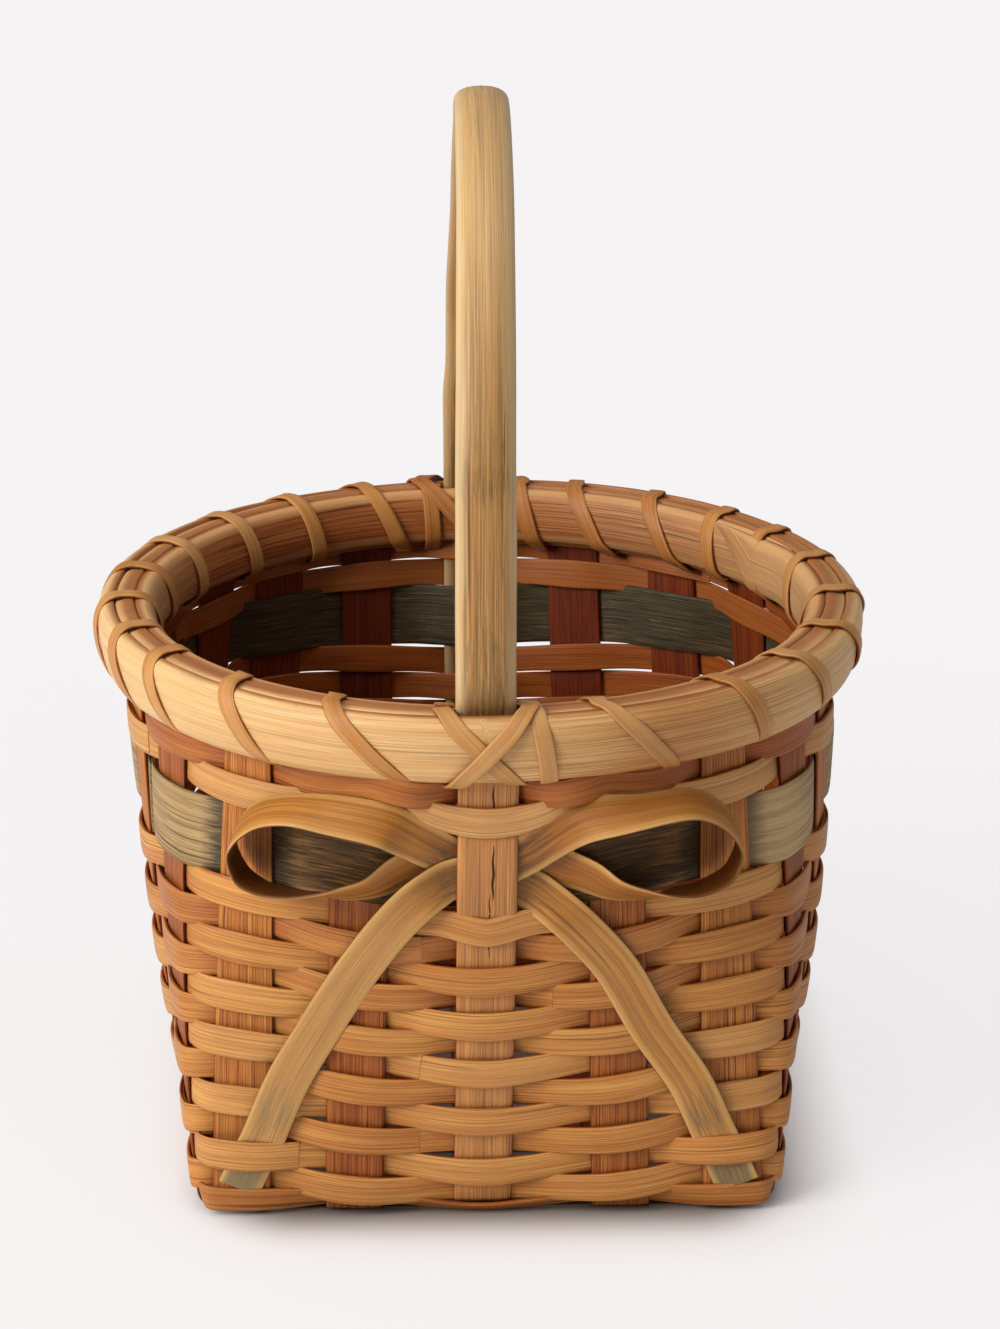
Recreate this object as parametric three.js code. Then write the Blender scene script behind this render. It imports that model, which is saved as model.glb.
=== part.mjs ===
// Woven reed basket with a square base, a round rim, a fixed hoop handle and a reed bow.
// Millimetres, +Z up. The front faces -Y and the origin is on the floor under the centre.
import * as THREE from 'three';

// Stakes: flat reed strips that cross in the base and stand up as the frame of the wall
const stakesPerSide = 5;
const stakeWidth = 16;
const stakeThickness = 1.5;
const stakeSpacing = 35.2;
const cornerStakeMargin = 13;

// Wall: square where it leaves the base, round where it meets the rim
const baseHalfWidth = 82;
const bendRadius = 5;
const rimBottomRadius = 101.8;
const wallSlope = 0.14;

// Weavers: flat reed hoops that pass outside one stake and inside the next
const weaverThickness = 1.3;
const weaverPitch = 7.77;
const plainRows = 12;
const firstRowHeight = 7.6;
const footRowReach = 3.1;
const footRowWidth = 4.4;
const footRowGap = 0.15;
const accentWidth = 21.6;
const accentPushedIn = 3.1;
const gapUnderAccent = 2.595;
const gapOverAccent = 2.565;
const topRowWidth = 6.6;
const gapUnderTopRow = 0.315;

// Rows climb a little towards the corners, less so near the level rim
const cornerLift = 5.5;
const accentLift = 3.2;
const upperLift = 1.0;

// Rim: an outer and an inner hoop with filler strips and the handle between them
const gapUnderRim = 2.55;
const rimHeight = 19.5;
const outerRimThickness = 6;
const fillerThickness = 3.05;
const innerRimThickness = 5.5;
const stakeTopDrop = 1;
const rimStakeGap = 0.7;

// Lashing: one narrow strip wound round the rim, crossed at each end of the handle
const lashingWidth = 4.8;
const lashingThickness = 1.0;

// Handle: a bent hoop that stands on the rim, with thin tails inside the wall
const handleWidth = 17;
const handleThickness = 7.5;
const handleTop = 304.7;
const tailEndHeight = 50;
const tailEndThickness = 1.2;
const tailMiddleHeight = 80;
const tailFullHeight = 120;
const legAboveRim = 6;

// Bow: two thin strips behind the front centre stake
const bowWidth = 12.7;
const bowThickness = 0.9;
const knotAboveAccent = 1;

// Smoothness of round pieces
const rimSteps = 56;
const archSteps = 30;
const wallSteps = 13;
const bulgeSteps = 32;
const bendSteps = 4;
const bowSteps = 50;

// Free space between pieces that touch on the real basket, and beside an edge
const clearance = 0.35;
const edgeMargin = 0.6;
const seatGap = 0.3;

// Heights of the rows and the rim, each from the row below it
const weaverWidth = weaverPitch - seatGap;
const lastRowHeight = firstRowHeight + (plainRows - 1) * weaverPitch;
const accentHeight = lastRowHeight + weaverWidth / 2 + gapUnderAccent + accentWidth / 2;
const upperRowHeight = accentHeight + accentWidth / 2 + gapOverAccent + weaverWidth / 2;
const topRowHeight = upperRowHeight + weaverWidth / 2 + gapUnderTopRow + topRowWidth / 2;
const rimBottom = topRowHeight + topRowWidth / 2 + gapUnderRim;
const rimTop = rimBottom + rimHeight;

// Other values that follow from the sizes above
const columnCount = 4 * stakesPerSide;
const middleStake = (stakesPerSide - 1) / 2;
const columnAngle = 2 * Math.PI / columnCount;
const bendLength = bendRadius * Math.PI / 2;
const lowLevel = stakeThickness / 2;
const highLevel = lowLevel + stakeThickness + seatGap;
const bendTop = lowLevel + bendRadius;
const weaverOffset = stakeThickness / 2 + clearance + weaverThickness / 2;
const fillerOuter = stakeThickness / 2 + seatGap;
const fillerInner = fillerOuter + fillerThickness;
const tailWeaverOffset = fillerInner + clearance + weaverThickness / 2;
const handleSides = [middleStake, middleStake + columnCount / 2];
const tuckedRow = 3;
const tuckedColumns = [0, stakesPerSide - 1];
const tuckedOffset = weaverOffset + bowThickness + 2 * clearance;
const tuckMargin = 2.4;

// Bow strips lie one over the other behind the centre stake, which stands out over them
const innerStripOffset = bowThickness / 2 + seatGap - fillerOuter;
const outerStripOffset = innerStripOffset + bowThickness + seatGap;
const stakeBulge = outerStripOffset + bowThickness / 2 + seatGap + stakeThickness / 2;
const bulgeRise = 4;
const bulgeBottom = lastRowHeight + weaverWidth / 2 + 0.5;
const bulgeTop = upperRowHeight - weaverWidth / 2 - 0.5;

const radians = (degrees) => degrees * Math.PI / 180;
const mix = THREE.MathUtils.lerp;
const clamp = THREE.MathUtils.clamp;
const up = new THREE.Vector3(0, 0, 1);

// Finish of each kind of reed
function reed(color, roughness = 0.72) {
  return new THREE.MeshStandardMaterial({ color, roughness, metalness: 0 });
}

const finishes = {
  stake: () => reed('#b4784a'),
  weaver: () => reed('#cf9a5c'),
  accent: () => reed('#4a4636'),
  rim: () => reed('#c99a62'),
  lashing: () => reed('#d2a468'),
  handle: () => reed('#b99a68', 0.62),
  bow: () => reed('#b78848'),
};

// Place of a stake along its side of the base
function baseOffset(place) {
  if (Math.abs(place) === middleStake) {
    return Math.sign(place) * (baseHalfWidth - cornerStakeMargin);
  }
  return place * stakeSpacing;
}

function columnLevel(column) {
  return column % 2 === 0 ? highLevel : lowLevel;
}

// Height on the wall as a distance up from the start of the bottom bend
function reachOf(height) {
  return height - bendTop + bendLength;
}

// Centre of a stake's thickness, with its tangent along the wall and its outward normal.
// Columns run counter-clockwise from the front left corner.
function columnFrame(column, reach) {
  const index = ((column % columnCount) + columnCount) % columnCount;
  const side = Math.floor(index / stakesPerSide);
  const place = index % stakesPerSide - middleStake;
  const sideAngle = -Math.PI / 2 + side * Math.PI / 2;
  const height = bendTop + reach - bendLength;
  const share = clamp((height - bendTop) / (rimBottom - bendTop), 0, 1);
  const bend = clamp(reach / bendLength, 0, 1) * Math.PI / 2 - Math.PI / 2;
  const turn = place * columnAngle;
  const sideNormal = new THREE.Vector3(Math.cos(sideAngle), Math.sin(sideAngle), 0);
  const sideTangent = up.clone().cross(sideNormal);
  const normalAngle = sideAngle + share * turn;
  const radial = new THREE.Vector3(Math.cos(sideAngle + turn), Math.sin(sideAngle + turn), 0);
  const bottomReach = baseHalfWidth - bendRadius * (1 - Math.cos(bend)) + Math.min(reach, 0);
  const point = sideNormal.clone().multiplyScalar(bottomReach);
  point.addScaledVector(sideTangent, baseOffset(place));
  point.lerp(radial.clone().multiplyScalar(rimBottomRadius), share);
  point.addScaledVector(radial, Math.max(height - rimBottom, 0) * wallSlope);
  const level = columnLevel(index);
  point.z = reach < bendLength ? bendTop + (bendTop - level) * Math.sin(bend) : height;
  const flat = new THREE.Vector3(Math.cos(normalAngle), Math.sin(normalAngle), 0);
  const normal = flat.clone().multiplyScalar(Math.cos(bend)).addScaledVector(up, Math.sin(bend));
  return { point, normal, tangent: up.clone().cross(flat) };
}

// Point beside and outside the centre that a frame stands for
function placed(frame, along, outward) {
  const point = frame.point.clone().addScaledVector(frame.normal, outward);
  return along === 0 ? point : point.addScaledVector(frame.tangent, along);
}

// Closed body from rings of corner points; the rings join up when the piece is a hoop
function skin(rings, hoop) {
  const corners = rings[0].length;
  const positions = rings.flat().flatMap((point) => [point.x, point.y, point.z]);
  const faces = [];
  const spans = hoop ? rings.length : rings.length - 1;
  for (let ring = 0; ring < spans; ring += 1) {
    const next = (ring + 1) % rings.length;
    for (let corner = 0; corner < corners; corner += 1) {
      const beside = (corner + 1) % corners;
      const a = ring * corners + corner;
      const b = ring * corners + beside;
      const c = next * corners + beside;
      const d = next * corners + corner;
      faces.push(a, b, c, a, c, d);
    }
  }
  if (!hoop) {
    const last = (rings.length - 1) * corners;
    for (let corner = 1; corner < corners - 1; corner += 1) {
      faces.push(0, corner + 1, corner);
      faces.push(last, last + corner, last + corner + 1);
    }
  }
  const geometry = new THREE.BufferGeometry();
  geometry.setAttribute('position', new THREE.Float32BufferAttribute(positions, 3));
  geometry.setIndex(faces);
  geometry.computeVertexNormals();
  return geometry;
}

// Ring of a section, whose points are [across, outward], at one station of a path
function sectionRing(station, section) {
  return section.map(([across, outward]) => station.point.clone()
    .addScaledVector(station.width, across)
    .addScaledVector(station.normal, outward));
}

function strip(width, thickness) {
  const half = width / 2;
  const deep = thickness / 2;
  return [[-half, -deep], [half, -deep], [half, deep], [-half, deep]];
}

// Stakes

// How far the front centre stake stands out over the bow
function bulge(height) {
  const rise = Math.min(height - bulgeBottom, bulgeTop - height) / bulgeRise;
  return stakeBulge * THREE.MathUtils.smoothstep(rise, 0, 1);
}

// Stations down one wall from the rim to the start of the bottom bend
function wallStations(column) {
  const reaches = [];
  const top = reachOf(rimTop - stakeTopDrop);
  const rim = reachOf(rimBottom);
  const steps = column === middleStake ? bulgeSteps : wallSteps;
  reaches.push(top);
  for (let step = 0; step < steps; step += 1) {
    reaches.push(mix(rim, bendLength, step / steps));
  }
  for (let step = 0; step <= bendSteps; step += 1) {
    reaches.push(bendLength * (1 - step / bendSteps));
  }
  return reaches.map((reach) => {
    const frame = columnFrame(column, reach);
    if (column === middleStake) {
      frame.point.addScaledVector(frame.normal, bulge(frame.point.z));
    }
    return { point: frame.point, width: frame.tangent, normal: frame.normal };
  });
}

// Stations across the base, over one crossing stake and under the next
function baseStations(index, startsHigh, direction, across) {
  const stations = [];
  for (let place = -middleStake; place <= middleStake; place += 1) {
    const high = (place + middleStake) % 2 === 0 ? startsHigh : !startsHigh;
    for (const edge of [-1, 1]) {
      if (place * edge === middleStake) {
        continue;
      }
      const along = baseOffset(place) + edge * (stakeWidth / 2 + edgeMargin);
      const point = direction.clone().multiplyScalar(along);
      point.addScaledVector(across, baseOffset(index));
      point.z = high ? highLevel : lowLevel;
      stations.push({ point, width: across, normal: up.clone().negate() });
    }
  }
  return stations;
}

// One stake, from the rim at one side, through the base, to the rim at the other side
function stake(startColumn, endColumn, index, direction, across) {
  const start = wallStations(startColumn);
  const end = wallStations(endColumn).reverse();
  end.forEach((station) => station.width.negate());
  const startsHigh = startColumn % 2 === 0;
  const stations = [...start, ...baseStations(index, startsHigh, direction, across), ...end];
  const section = strip(stakeWidth, stakeThickness);
  return skin(stations.map((station) => sectionRing(station, section)), false);
}

// Weavers

// One row's height, width, climb towards the corners and the stakes that it passes outside
const rows = [];
for (let row = 0; row < plainRows; row += 1) {
  rows.push({
    reach: reachOf(firstRowHeight + row * weaverPitch),
    width: weaverWidth,
    lift: cornerLift,
    outsideEven: row % 2 === 1,
    finish: finishes.weaver,
  });
}
rows.unshift({
  reach: footRowReach, width: footRowWidth, lift: cornerLift, outsideEven: true,
  bands: 2, looseness: footRowGap, finish: finishes.weaver,
});
rows.push({
  reach: reachOf(accentHeight), width: accentWidth, lift: accentLift, outsideEven: false,
  bands: 3, pushedIn: accentPushedIn, finish: finishes.accent, name: 'accent_weaver',
});
rows.push({
  reach: reachOf(upperRowHeight), width: weaverWidth, lift: upperLift, outsideEven: true,
  finish: finishes.weaver,
});
rows.push({
  reach: reachOf(topRowHeight), width: topRowWidth, lift: upperLift, outsideEven: false,
  finish: finishes.weaver,
});

// Height gained at a station, from none at the middle of a side to the full lift at a corner
function liftAt(row, column) {
  return row.lift * (1 - Math.cos(4 * (column - middleStake) * columnAngle)) / 2;
}

// Distance of a row's centre from a stake's centre, outward positive
function rowOffset(row, column, rowNumber) {
  const outside = (column % 2 === 0) === row.outsideEven;
  if (outside) {
    const tucked = rowNumber === tuckedRow && tuckedColumns.includes(column);
    return (tucked ? tuckedOffset : weaverOffset) + (row.looseness ?? 0);
  }
  const overTail = handleSides.includes(column) && row.reach > reachOf(tailEndHeight);
  return overTail ? -tailWeaverOffset : -weaverOffset;
}

// Middle of the rounded turn between two neighbouring stakes
function gapFrame(column, reach) {
  const before = columnFrame(column, reach);
  const after = columnFrame(column + 1, reach);
  const start = placed(before, stakeWidth / 2 + edgeMargin, 0);
  const end = placed(after, -stakeWidth / 2 - edgeMargin, 0);
  const turn = before.normal.angleTo(after.normal);
  const normal = before.normal.clone().add(after.normal).normalize();
  const point = start.clone().lerp(end, 0.5);
  point.addScaledVector(normal, start.distanceTo(end) / 2 * Math.tan(turn / 4));
  return { point, normal, tangent: end.clone().sub(start).normalize() };
}

// Corners of a weaver at one station: up its inner face and down its outer face, both
// following the wall. A row with more bands bends with the wall between its edges too.
function weaverRing(frameAt, row, lift, along, offset) {
  const bands = row.bands ?? 1;
  const inner = [];
  const outer = [];
  for (let band = 0; band <= bands; band += 1) {
    const frame = frameAt(row.reach + lift + row.width * (band / bands - 0.5));
    inner.push(placed(frame, along, offset - weaverThickness / 2));
    outer.unshift(placed(frame, along, offset + weaverThickness / 2));
  }
  return [...inner, ...outer];
}

function weaver(row, rowNumber) {
  const rings = [];
  for (let column = 0; column < columnCount; column += 1) {
    const offset = rowOffset(row, column, rowNumber);
    const margin = offset === tuckedOffset ? tuckMargin : 0;
    const reachAside = stakeWidth / 2 + edgeMargin + margin;
    for (const edge of [-1, 1]) {
      const lift = liftAt(row, column + edge * 0.25);
      rings.push(weaverRing((reach) => columnFrame(column, reach), row, lift, edge * reachAside, offset));
    }
    const lift = liftAt(row, column + 0.5);
    const besideBow = column === middleStake || column + 1 === middleStake;
    const inward = besideBow ? row.pushedIn ?? 0 : 0;
    rings.push(weaverRing((reach) => gapFrame(column, reach), row, lift, 0, -inward));
  }
  return skin(rings, true);
}

// Rim

// Rim sections as [outward from the stakes, height], with the rounded edges of half-round reed
const outerRimInner = stakeThickness / 2 + rimStakeGap;
const outerRimOuter = outerRimInner + outerRimThickness;
const innerRimOuter = -fillerInner - seatGap;
const innerRimInner = innerRimOuter - innerRimThickness;

const outerRimProfile = [
  [outerRimInner, rimBottom],
  [outerRimOuter - 3.4, rimBottom],
  [outerRimOuter - 0.9, rimBottom + 1.4],
  [outerRimOuter, rimBottom + 5],
  [outerRimOuter, rimTop - 5],
  [outerRimOuter - 1, rimTop - 1.4],
  [outerRimOuter - 3, rimTop],
  [outerRimInner, rimTop],
];
const innerRimProfile = [
  [innerRimOuter, rimTop],
  [innerRimInner + 3, rimTop],
  [innerRimInner + 0.8, rimTop - 1.2],
  [innerRimInner, rimTop - 4],
  [innerRimInner, rimBottom + 4],
  [innerRimInner + 0.8, rimBottom + 1.4],
  [innerRimInner + 3.2, rimBottom],
  [innerRimOuter, rimBottom],
];

function wallRadius(height) {
  return rimBottomRadius + (height - rimBottom) * wallSlope;
}

function hoop(profile) {
  const outline = profile.map(([outward, height]) => new THREE.Vector2(wallRadius(height) + outward, height));
  outline.push(outline[0].clone());
  const geometry = new THREE.LatheGeometry(outline, rimSteps);
  return geometry.rotateX(Math.PI / 2);
}

// Filler strip along half of the rim, from one handle leg to the other
function rimFiller(startAngle) {
  const rings = [];
  const legAngle = Math.asin((handleWidth / 2 + seatGap) / (rimBottomRadius - fillerInner));
  const steps = rimSteps / 2;
  for (let step = 0; step <= steps; step += 1) {
    const angle = startAngle + mix(legAngle, Math.PI - legAngle, step / steps);
    const outward = new THREE.Vector3(Math.cos(angle), Math.sin(angle), 0);
    const corner = (offset, height) => outward.clone()
      .multiplyScalar(wallRadius(height) + offset)
      .addScaledVector(up, height);
    const bottom = rimBottom + seatGap;
    const top = rimTop - seatGap;
    rings.push([
      corner(-fillerInner, bottom),
      corner(-fillerInner, top),
      corner(-fillerOuter, top),
      corner(-fillerOuter, bottom),
    ]);
  }
  return skin(rings, false);
}

// Lashing

// Path of one wrap round the rim: down the outside, under, up the inside and over the top.
// Each entry is [outward, height, direction it faces in degrees, share of the way down or up].
const wrapOutside = [
  [outerRimOuter - 3, rimTop, 90, 0],
  [outerRimOuter - 0.8, rimTop - 1.2, 45, 0.12],
  [outerRimOuter, rimTop - 4.6, 0, 0.28],
  [outerRimOuter, rimTop - rimHeight / 2, 0, 0.5],
  [outerRimOuter, rimBottom + 4.6, 0, 0.74],
  [outerRimOuter - 0.8, rimBottom + 1.2, -45, 0.92],
  [outerRimOuter - 3.4, rimBottom, -90, 1],
];
const wrapInside = [
  [innerRimInner + 3.2, rimBottom, -90, 0],
  [innerRimInner + 0.7, rimBottom + 1.2, -135, 0.1],
  [innerRimInner, rimBottom + 4, 180, 0.25],
  [innerRimInner, rimTop - 4, 180, 0.75],
  [innerRimInner + 0.7, rimTop - 1.1, 135, 0.9],
  [innerRimInner + 3, rimTop, 90, 1],
];

// Wraps as the angles, in degrees counter-clockwise from the handle, of their top and bottom
function wrapsFromHandle() {
  const degreesPerColumn = 360 / columnCount;
  const half = columnCount / 2;
  const wraps = [
    { top: -6.9, bottom: 6.5 },
    { top: 6.3, bottom: -6.5, raised: true },
    { top: 9.3, bottom: 10.7, fromRaised: true },
  ];
  for (let gap = 1; gap < half; gap += 1) {
    const middle = (gap + 0.5) * degreesPerColumn;
    const late = gap === half - 1 ? 3 : 0;
    wraps.push({ top: middle - 11 - late, bottom: middle - late });
  }
  return wraps;
}

function lashing() {
  const wraps = handleSides.flatMap((column) => wrapsFromHandle().map((wrap) => ({
    ...wrap,
    start: radians(wrap.top) + (column - middleStake) * columnAngle - Math.PI / 2,
    end: radians(wrap.bottom) + (column - middleStake) * columnAngle - Math.PI / 2,
  })));
  const lift = clearance + lashingThickness / 2;
  const crossing = lashingThickness + seatGap;
  const path = [];
  const station = ([outward, height, facing], angle, raise) => {
    const radial = new THREE.Vector3(Math.cos(angle), Math.sin(angle), 0);
    const normal = radial.clone().multiplyScalar(Math.cos(radians(facing)));
    normal.addScaledVector(up, Math.sin(radians(facing)));
    const point = radial.clone().multiplyScalar(wallRadius(height) + outward).addScaledVector(up, height);
    point.addScaledVector(normal, lift + raise * crossing);
    path.push({ point, normal });
  };
  wraps.forEach((wrap, index) => {
    const next = wraps[(index + 1) % wraps.length];
    const nextStart = next.start + (index + 1 === wraps.length ? 2 * Math.PI : 0);
    wrapOutside.forEach((corner, step) => {
      const ends = step === 0 || step === wrapOutside.length - 1;
      const raisedHere = wrap.raised && !ends ? 1 : 0;
      const fading = wrap.fromRaised ? Math.max(0, 1 - step / 2) : 0;
      station(corner, mix(wrap.start, wrap.end, corner[3]), Math.max(raisedHere, fading));
    });
    wrapInside.forEach((corner, step) => {
      const raise = wrap.raised && step > 0 ? 1 : 0;
      station(corner, mix(wrap.end, nextStart, corner[3]), raise);
    });
  });
  const section = strip(lashingWidth, lashingThickness);
  const rings = path.map(({ point, normal }, index) => {
    const before = path[(index + path.length - 1) % path.length].point;
    const after = path[(index + 1) % path.length].point;
    const along = after.clone().sub(before).normalize();
    const width = normal.clone().cross(along).normalize();
    return sectionRing({ point, width, normal: along.clone().cross(width) }, section);
  });
  return skin(rings, true);
}

// Handle

// Half-round section, flat inside and domed outside, as [across, outward] shares of its size
const handleSection = [
  [-0.5, -0.26], [-0.42, -0.44], [-0.2, -0.5], [0.2, -0.5], [0.42, -0.44], [0.5, -0.26],
  [0.5, 0.06], [0.4, 0.36], [0.17, 0.5], [-0.17, 0.5], [-0.4, 0.36], [-0.5, 0.06],
];

function handleLeg(column) {
  const heights = [tailEndHeight, tailMiddleHeight, tailFullHeight, rimBottom, rimTop + 1];
  return heights.map((height) => {
    const frame = columnFrame(column, reachOf(height));
    const share = clamp((height - tailEndHeight) / (tailFullHeight - tailEndHeight), 0, 1);
    const thickness = mix(tailEndThickness, fillerThickness, share);
    frame.point.addScaledVector(frame.normal, -fillerOuter - thickness / 2);
    return { point: frame.point, normal: frame.normal, thickness };
  });
}

function handle() {
  const leg = handleLeg(handleSides[0]);
  const farLeg = handleLeg(handleSides[1]).reverse();
  const archRadius = -leg[leg.length - 1].point.y;
  const archCentre = handleTop - handleThickness / 2 - archRadius;
  const stations = [...leg];
  const shoulder = rimTop + legAboveRim;
  const upright = (side, height) => ({
    point: new THREE.Vector3(0, side * archRadius, height),
    normal: new THREE.Vector3(0, side, 0),
    thickness: handleThickness,
  });
  stations.push(upright(-1, shoulder));
  for (let step = 0; step <= archSteps; step += 1) {
    const angle = Math.PI * step / archSteps;
    const normal = new THREE.Vector3(0, -Math.cos(angle), Math.sin(angle));
    const point = normal.clone().multiplyScalar(archRadius).addScaledVector(up, archCentre);
    stations.push({ point, normal, thickness: handleThickness });
  }
  stations.push(upright(1, shoulder));
  stations.push(...farLeg);
  const width = new THREE.Vector3(-1, 0, 0);
  return skin(stations.map(({ point, normal, thickness }) => sectionRing(
    { point, width, normal },
    handleSection.map(([across, outward]) => [across * handleWidth, outward * thickness]),
  )), false);
}

// Bow

// Point on the front of the wall, with its outward normal
function frontFrame(across, height) {
  const share = clamp((height - bendTop) / (rimBottom - bendTop), 0, 1);
  const flatReach = baseOffset(1) / Math.sin(columnAngle);
  const turn = Math.asin(clamp(across / mix(flatReach, rimBottomRadius, share), -1, 1));
  const depth = mix(baseHalfWidth, rimBottomRadius * Math.cos(turn), share);
  const angle = share * turn - Math.PI / 2;
  const lean = (rimBottomRadius - baseHalfWidth) / (rimBottom - bendTop);
  return {
    point: new THREE.Vector3(across, -depth, height),
    normal: new THREE.Vector3(Math.cos(angle), Math.sin(angle), -lean).normalize(),
  };
}

// Where a flat strip clears the weavers, the other strip, and the weaver that holds its end
const onWeavers = weaverOffset + weaverThickness / 2 + clearance + bowThickness / 2;
const overStrip = onWeavers + bowThickness + clearance;
const underWeaver = (stakeThickness / 2 + tuckedOffset - weaverThickness / 2) / 2;

const outerStrip = { behindStake: outerStripOffset, level: overStrip, leaves: 11.6, arrives: 18.5 };
const innerStrip = { behindStake: innerStripOffset, level: onWeavers, leaves: 14.4, arrives: 20.5 };

// The strips meet at the knot behind the centre stake, and their ends lie under the tucked row.
// A height on a tail between the two is a share of the way up, drawn as 0 to 100.
const knotHeight = accentHeight + knotAboveAccent;
const tuckHeight = firstRowHeight + (tuckedRow - 2) * weaverPitch;
const onTail = (drawn) => mix(tuckHeight, knotHeight, drawn / 100);

// Heights of a tail and of an upper strand near the centre stake, by distance across
const tailHeight = (across) => knotHeight - (across < 9.2
  ? mix(0, 2.6, across / 9.2)
  : mix(2.6, 9.4, (across - 9.2) / 11.3));
const strandHeight = (across) => knotHeight + (across < 9.2
  ? mix(0, 2.2, across / 9.2)
  : mix(2.2, 7.6, (across - 9.2) / 11.3));

// Points of one strip for the right loop, as [across, height, outward, twist in degrees]:
// tail, crossing behind the centre stake, upper strand, loop end and lower strand. Between
// leaving the stake and arriving at its level, a strip comes out over what crosses there.
function bowPoints({ behindStake, level, leaves, arrives }) {
  const halfway = (leaves + arrives) / 2;
  const rising = (behindStake + level) / 2;
  return [
    [-69.5, tuckHeight - 3.4, underWeaver, 0],
    [-67.2, tuckHeight + 4.1, underWeaver, 0],
    [-64.8, tuckHeight + 10, underWeaver + 0.3, 0],
    [-62.2, tuckHeight + 15.6, onWeavers, 0],
    [-55.2, onTail(30.9), onWeavers, 0],
    [-46, onTail(48.7), onWeavers, 0],
    [-35.5, onTail(68.5), onWeavers, 0],
    [-26.5, onTail(83.1), level, 0],
    [-arrives, tailHeight(arrives), level, 0],
    [-halfway, tailHeight(halfway), rising, 0],
    [-leaves, tailHeight(leaves), behindStake, 0],
    [-stakeWidth / 2, tailHeight(stakeWidth / 2), behindStake, 0],
    [0, knotHeight, behindStake, 0],
    [stakeWidth / 2, strandHeight(stakeWidth / 2), behindStake, 0],
    [leaves, strandHeight(leaves), behindStake, 0],
    [halfway, strandHeight(halfway), rising, 0],
    [arrives, strandHeight(arrives), level, 0],
    [31, knotHeight + 14.2, level, 14],
    [44, knotHeight + 18.3, onWeavers, 50],
    [57, knotHeight + 17.3, onWeavers, 76],
    [67, knotHeight + 10.8, onWeavers, 86],
    [70, knotHeight + 1.8, onWeavers, 90],
    [64, knotHeight - 5.8, onWeavers, 98],
    [52, knotHeight - 8.2, onWeavers, 122],
    [41, knotHeight - 6.9, onWeavers, 156],
    [32, knotHeight - 4.4, onWeavers, 180],
  ];
}

// One strip of the bow; side is 1 with its loop on the right and -1 with it on the left.
// As a strip turns onto its edge it moves out, so that the edge near the wall stays clear.
function bowStrip(side, shape) {
  const points = bowPoints(shape);
  const route = new THREE.CatmullRomCurve3(
    points.map(([across, height, outward]) => new THREE.Vector3(side * across, height, outward)),
  );
  const twist = new THREE.CatmullRomCurve3(points.map((point) => new THREE.Vector3(point[3], 0, 0)));
  const stations = [];
  for (let step = 0; step <= bowSteps; step += 1) {
    const at = route.getPoint(step / bowSteps);
    const turn = radians(twist.getPoint(step / bowSteps).x);
    const frame = frontFrame(at.x, at.y);
    const outward = at.z + Math.sin(turn) * bowWidth / 2;
    stations.push({ point: placed(frame, 0, outward), out: frame.normal, turn });
  }
  const section = strip(bowWidth, bowThickness);
  const rings = stations.map(({ point, out, turn }, index) => {
    const before = stations[Math.max(index - 1, 0)].point;
    const after = stations[Math.min(index + 1, bowSteps)].point;
    const along = after.clone().sub(before).normalize();
    const outer = out.clone().cross(along).multiplyScalar(side).normalize();
    const width = outer.multiplyScalar(Math.cos(turn)).addScaledVector(out, -Math.sin(turn));
    width.addScaledVector(along, -width.dot(along)).normalize();
    return sectionRing({ point, width, normal: along.clone().cross(width) }, section);
  });
  return skin(rings, false);
}

// Assembly

const basket = new THREE.Group();

function addPiece(name, geometry, material) {
  const mesh = new THREE.Mesh(geometry, material);
  mesh.name = name;
  basket.add(mesh);
}

const rightward = new THREE.Vector3(1, 0, 0);
const backward = new THREE.Vector3(0, 1, 0);
for (let index = 0; index < stakesPerSide; index += 1) {
  const place = index - middleStake;
  const frontColumn = index;
  const backColumn = 3 * stakesPerSide - 1 - index;
  const rightColumn = stakesPerSide + index;
  const leftColumn = columnCount - 1 - index;
  const frontBack = stake(frontColumn, backColumn, place, backward, rightward);
  const leftRight = stake(rightColumn, leftColumn, place, rightward.clone().negate(), backward);
  addPiece(`stake_front_back_${index + 1}`, frontBack, finishes.stake());
  addPiece(`stake_left_right_${index + 1}`, leftRight, finishes.stake());
}

let plainNumber = 0;
rows.forEach((row, index) => {
  plainNumber += row.name ? 0 : 1;
  const name = row.name ?? `weaver_${String(plainNumber).padStart(2, '0')}`;
  addPiece(name, weaver(row, index + 1), row.finish());
});

addPiece('outer_rim', hoop(outerRimProfile), finishes.rim());
addPiece('inner_rim', hoop(innerRimProfile), finishes.rim());
addPiece('rim_filler_right', rimFiller(-Math.PI / 2), finishes.rim());
addPiece('rim_filler_left', rimFiller(Math.PI / 2), finishes.rim());
addPiece('rim_lashing', lashing(), finishes.lashing());
addPiece('handle', handle(), finishes.handle());
addPiece('bow_strip_outer', bowStrip(1, outerStrip), finishes.bow());
addPiece('bow_strip_inner', bowStrip(-1, innerStrip), finishes.bow());

export default basket;
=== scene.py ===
import math

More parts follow.
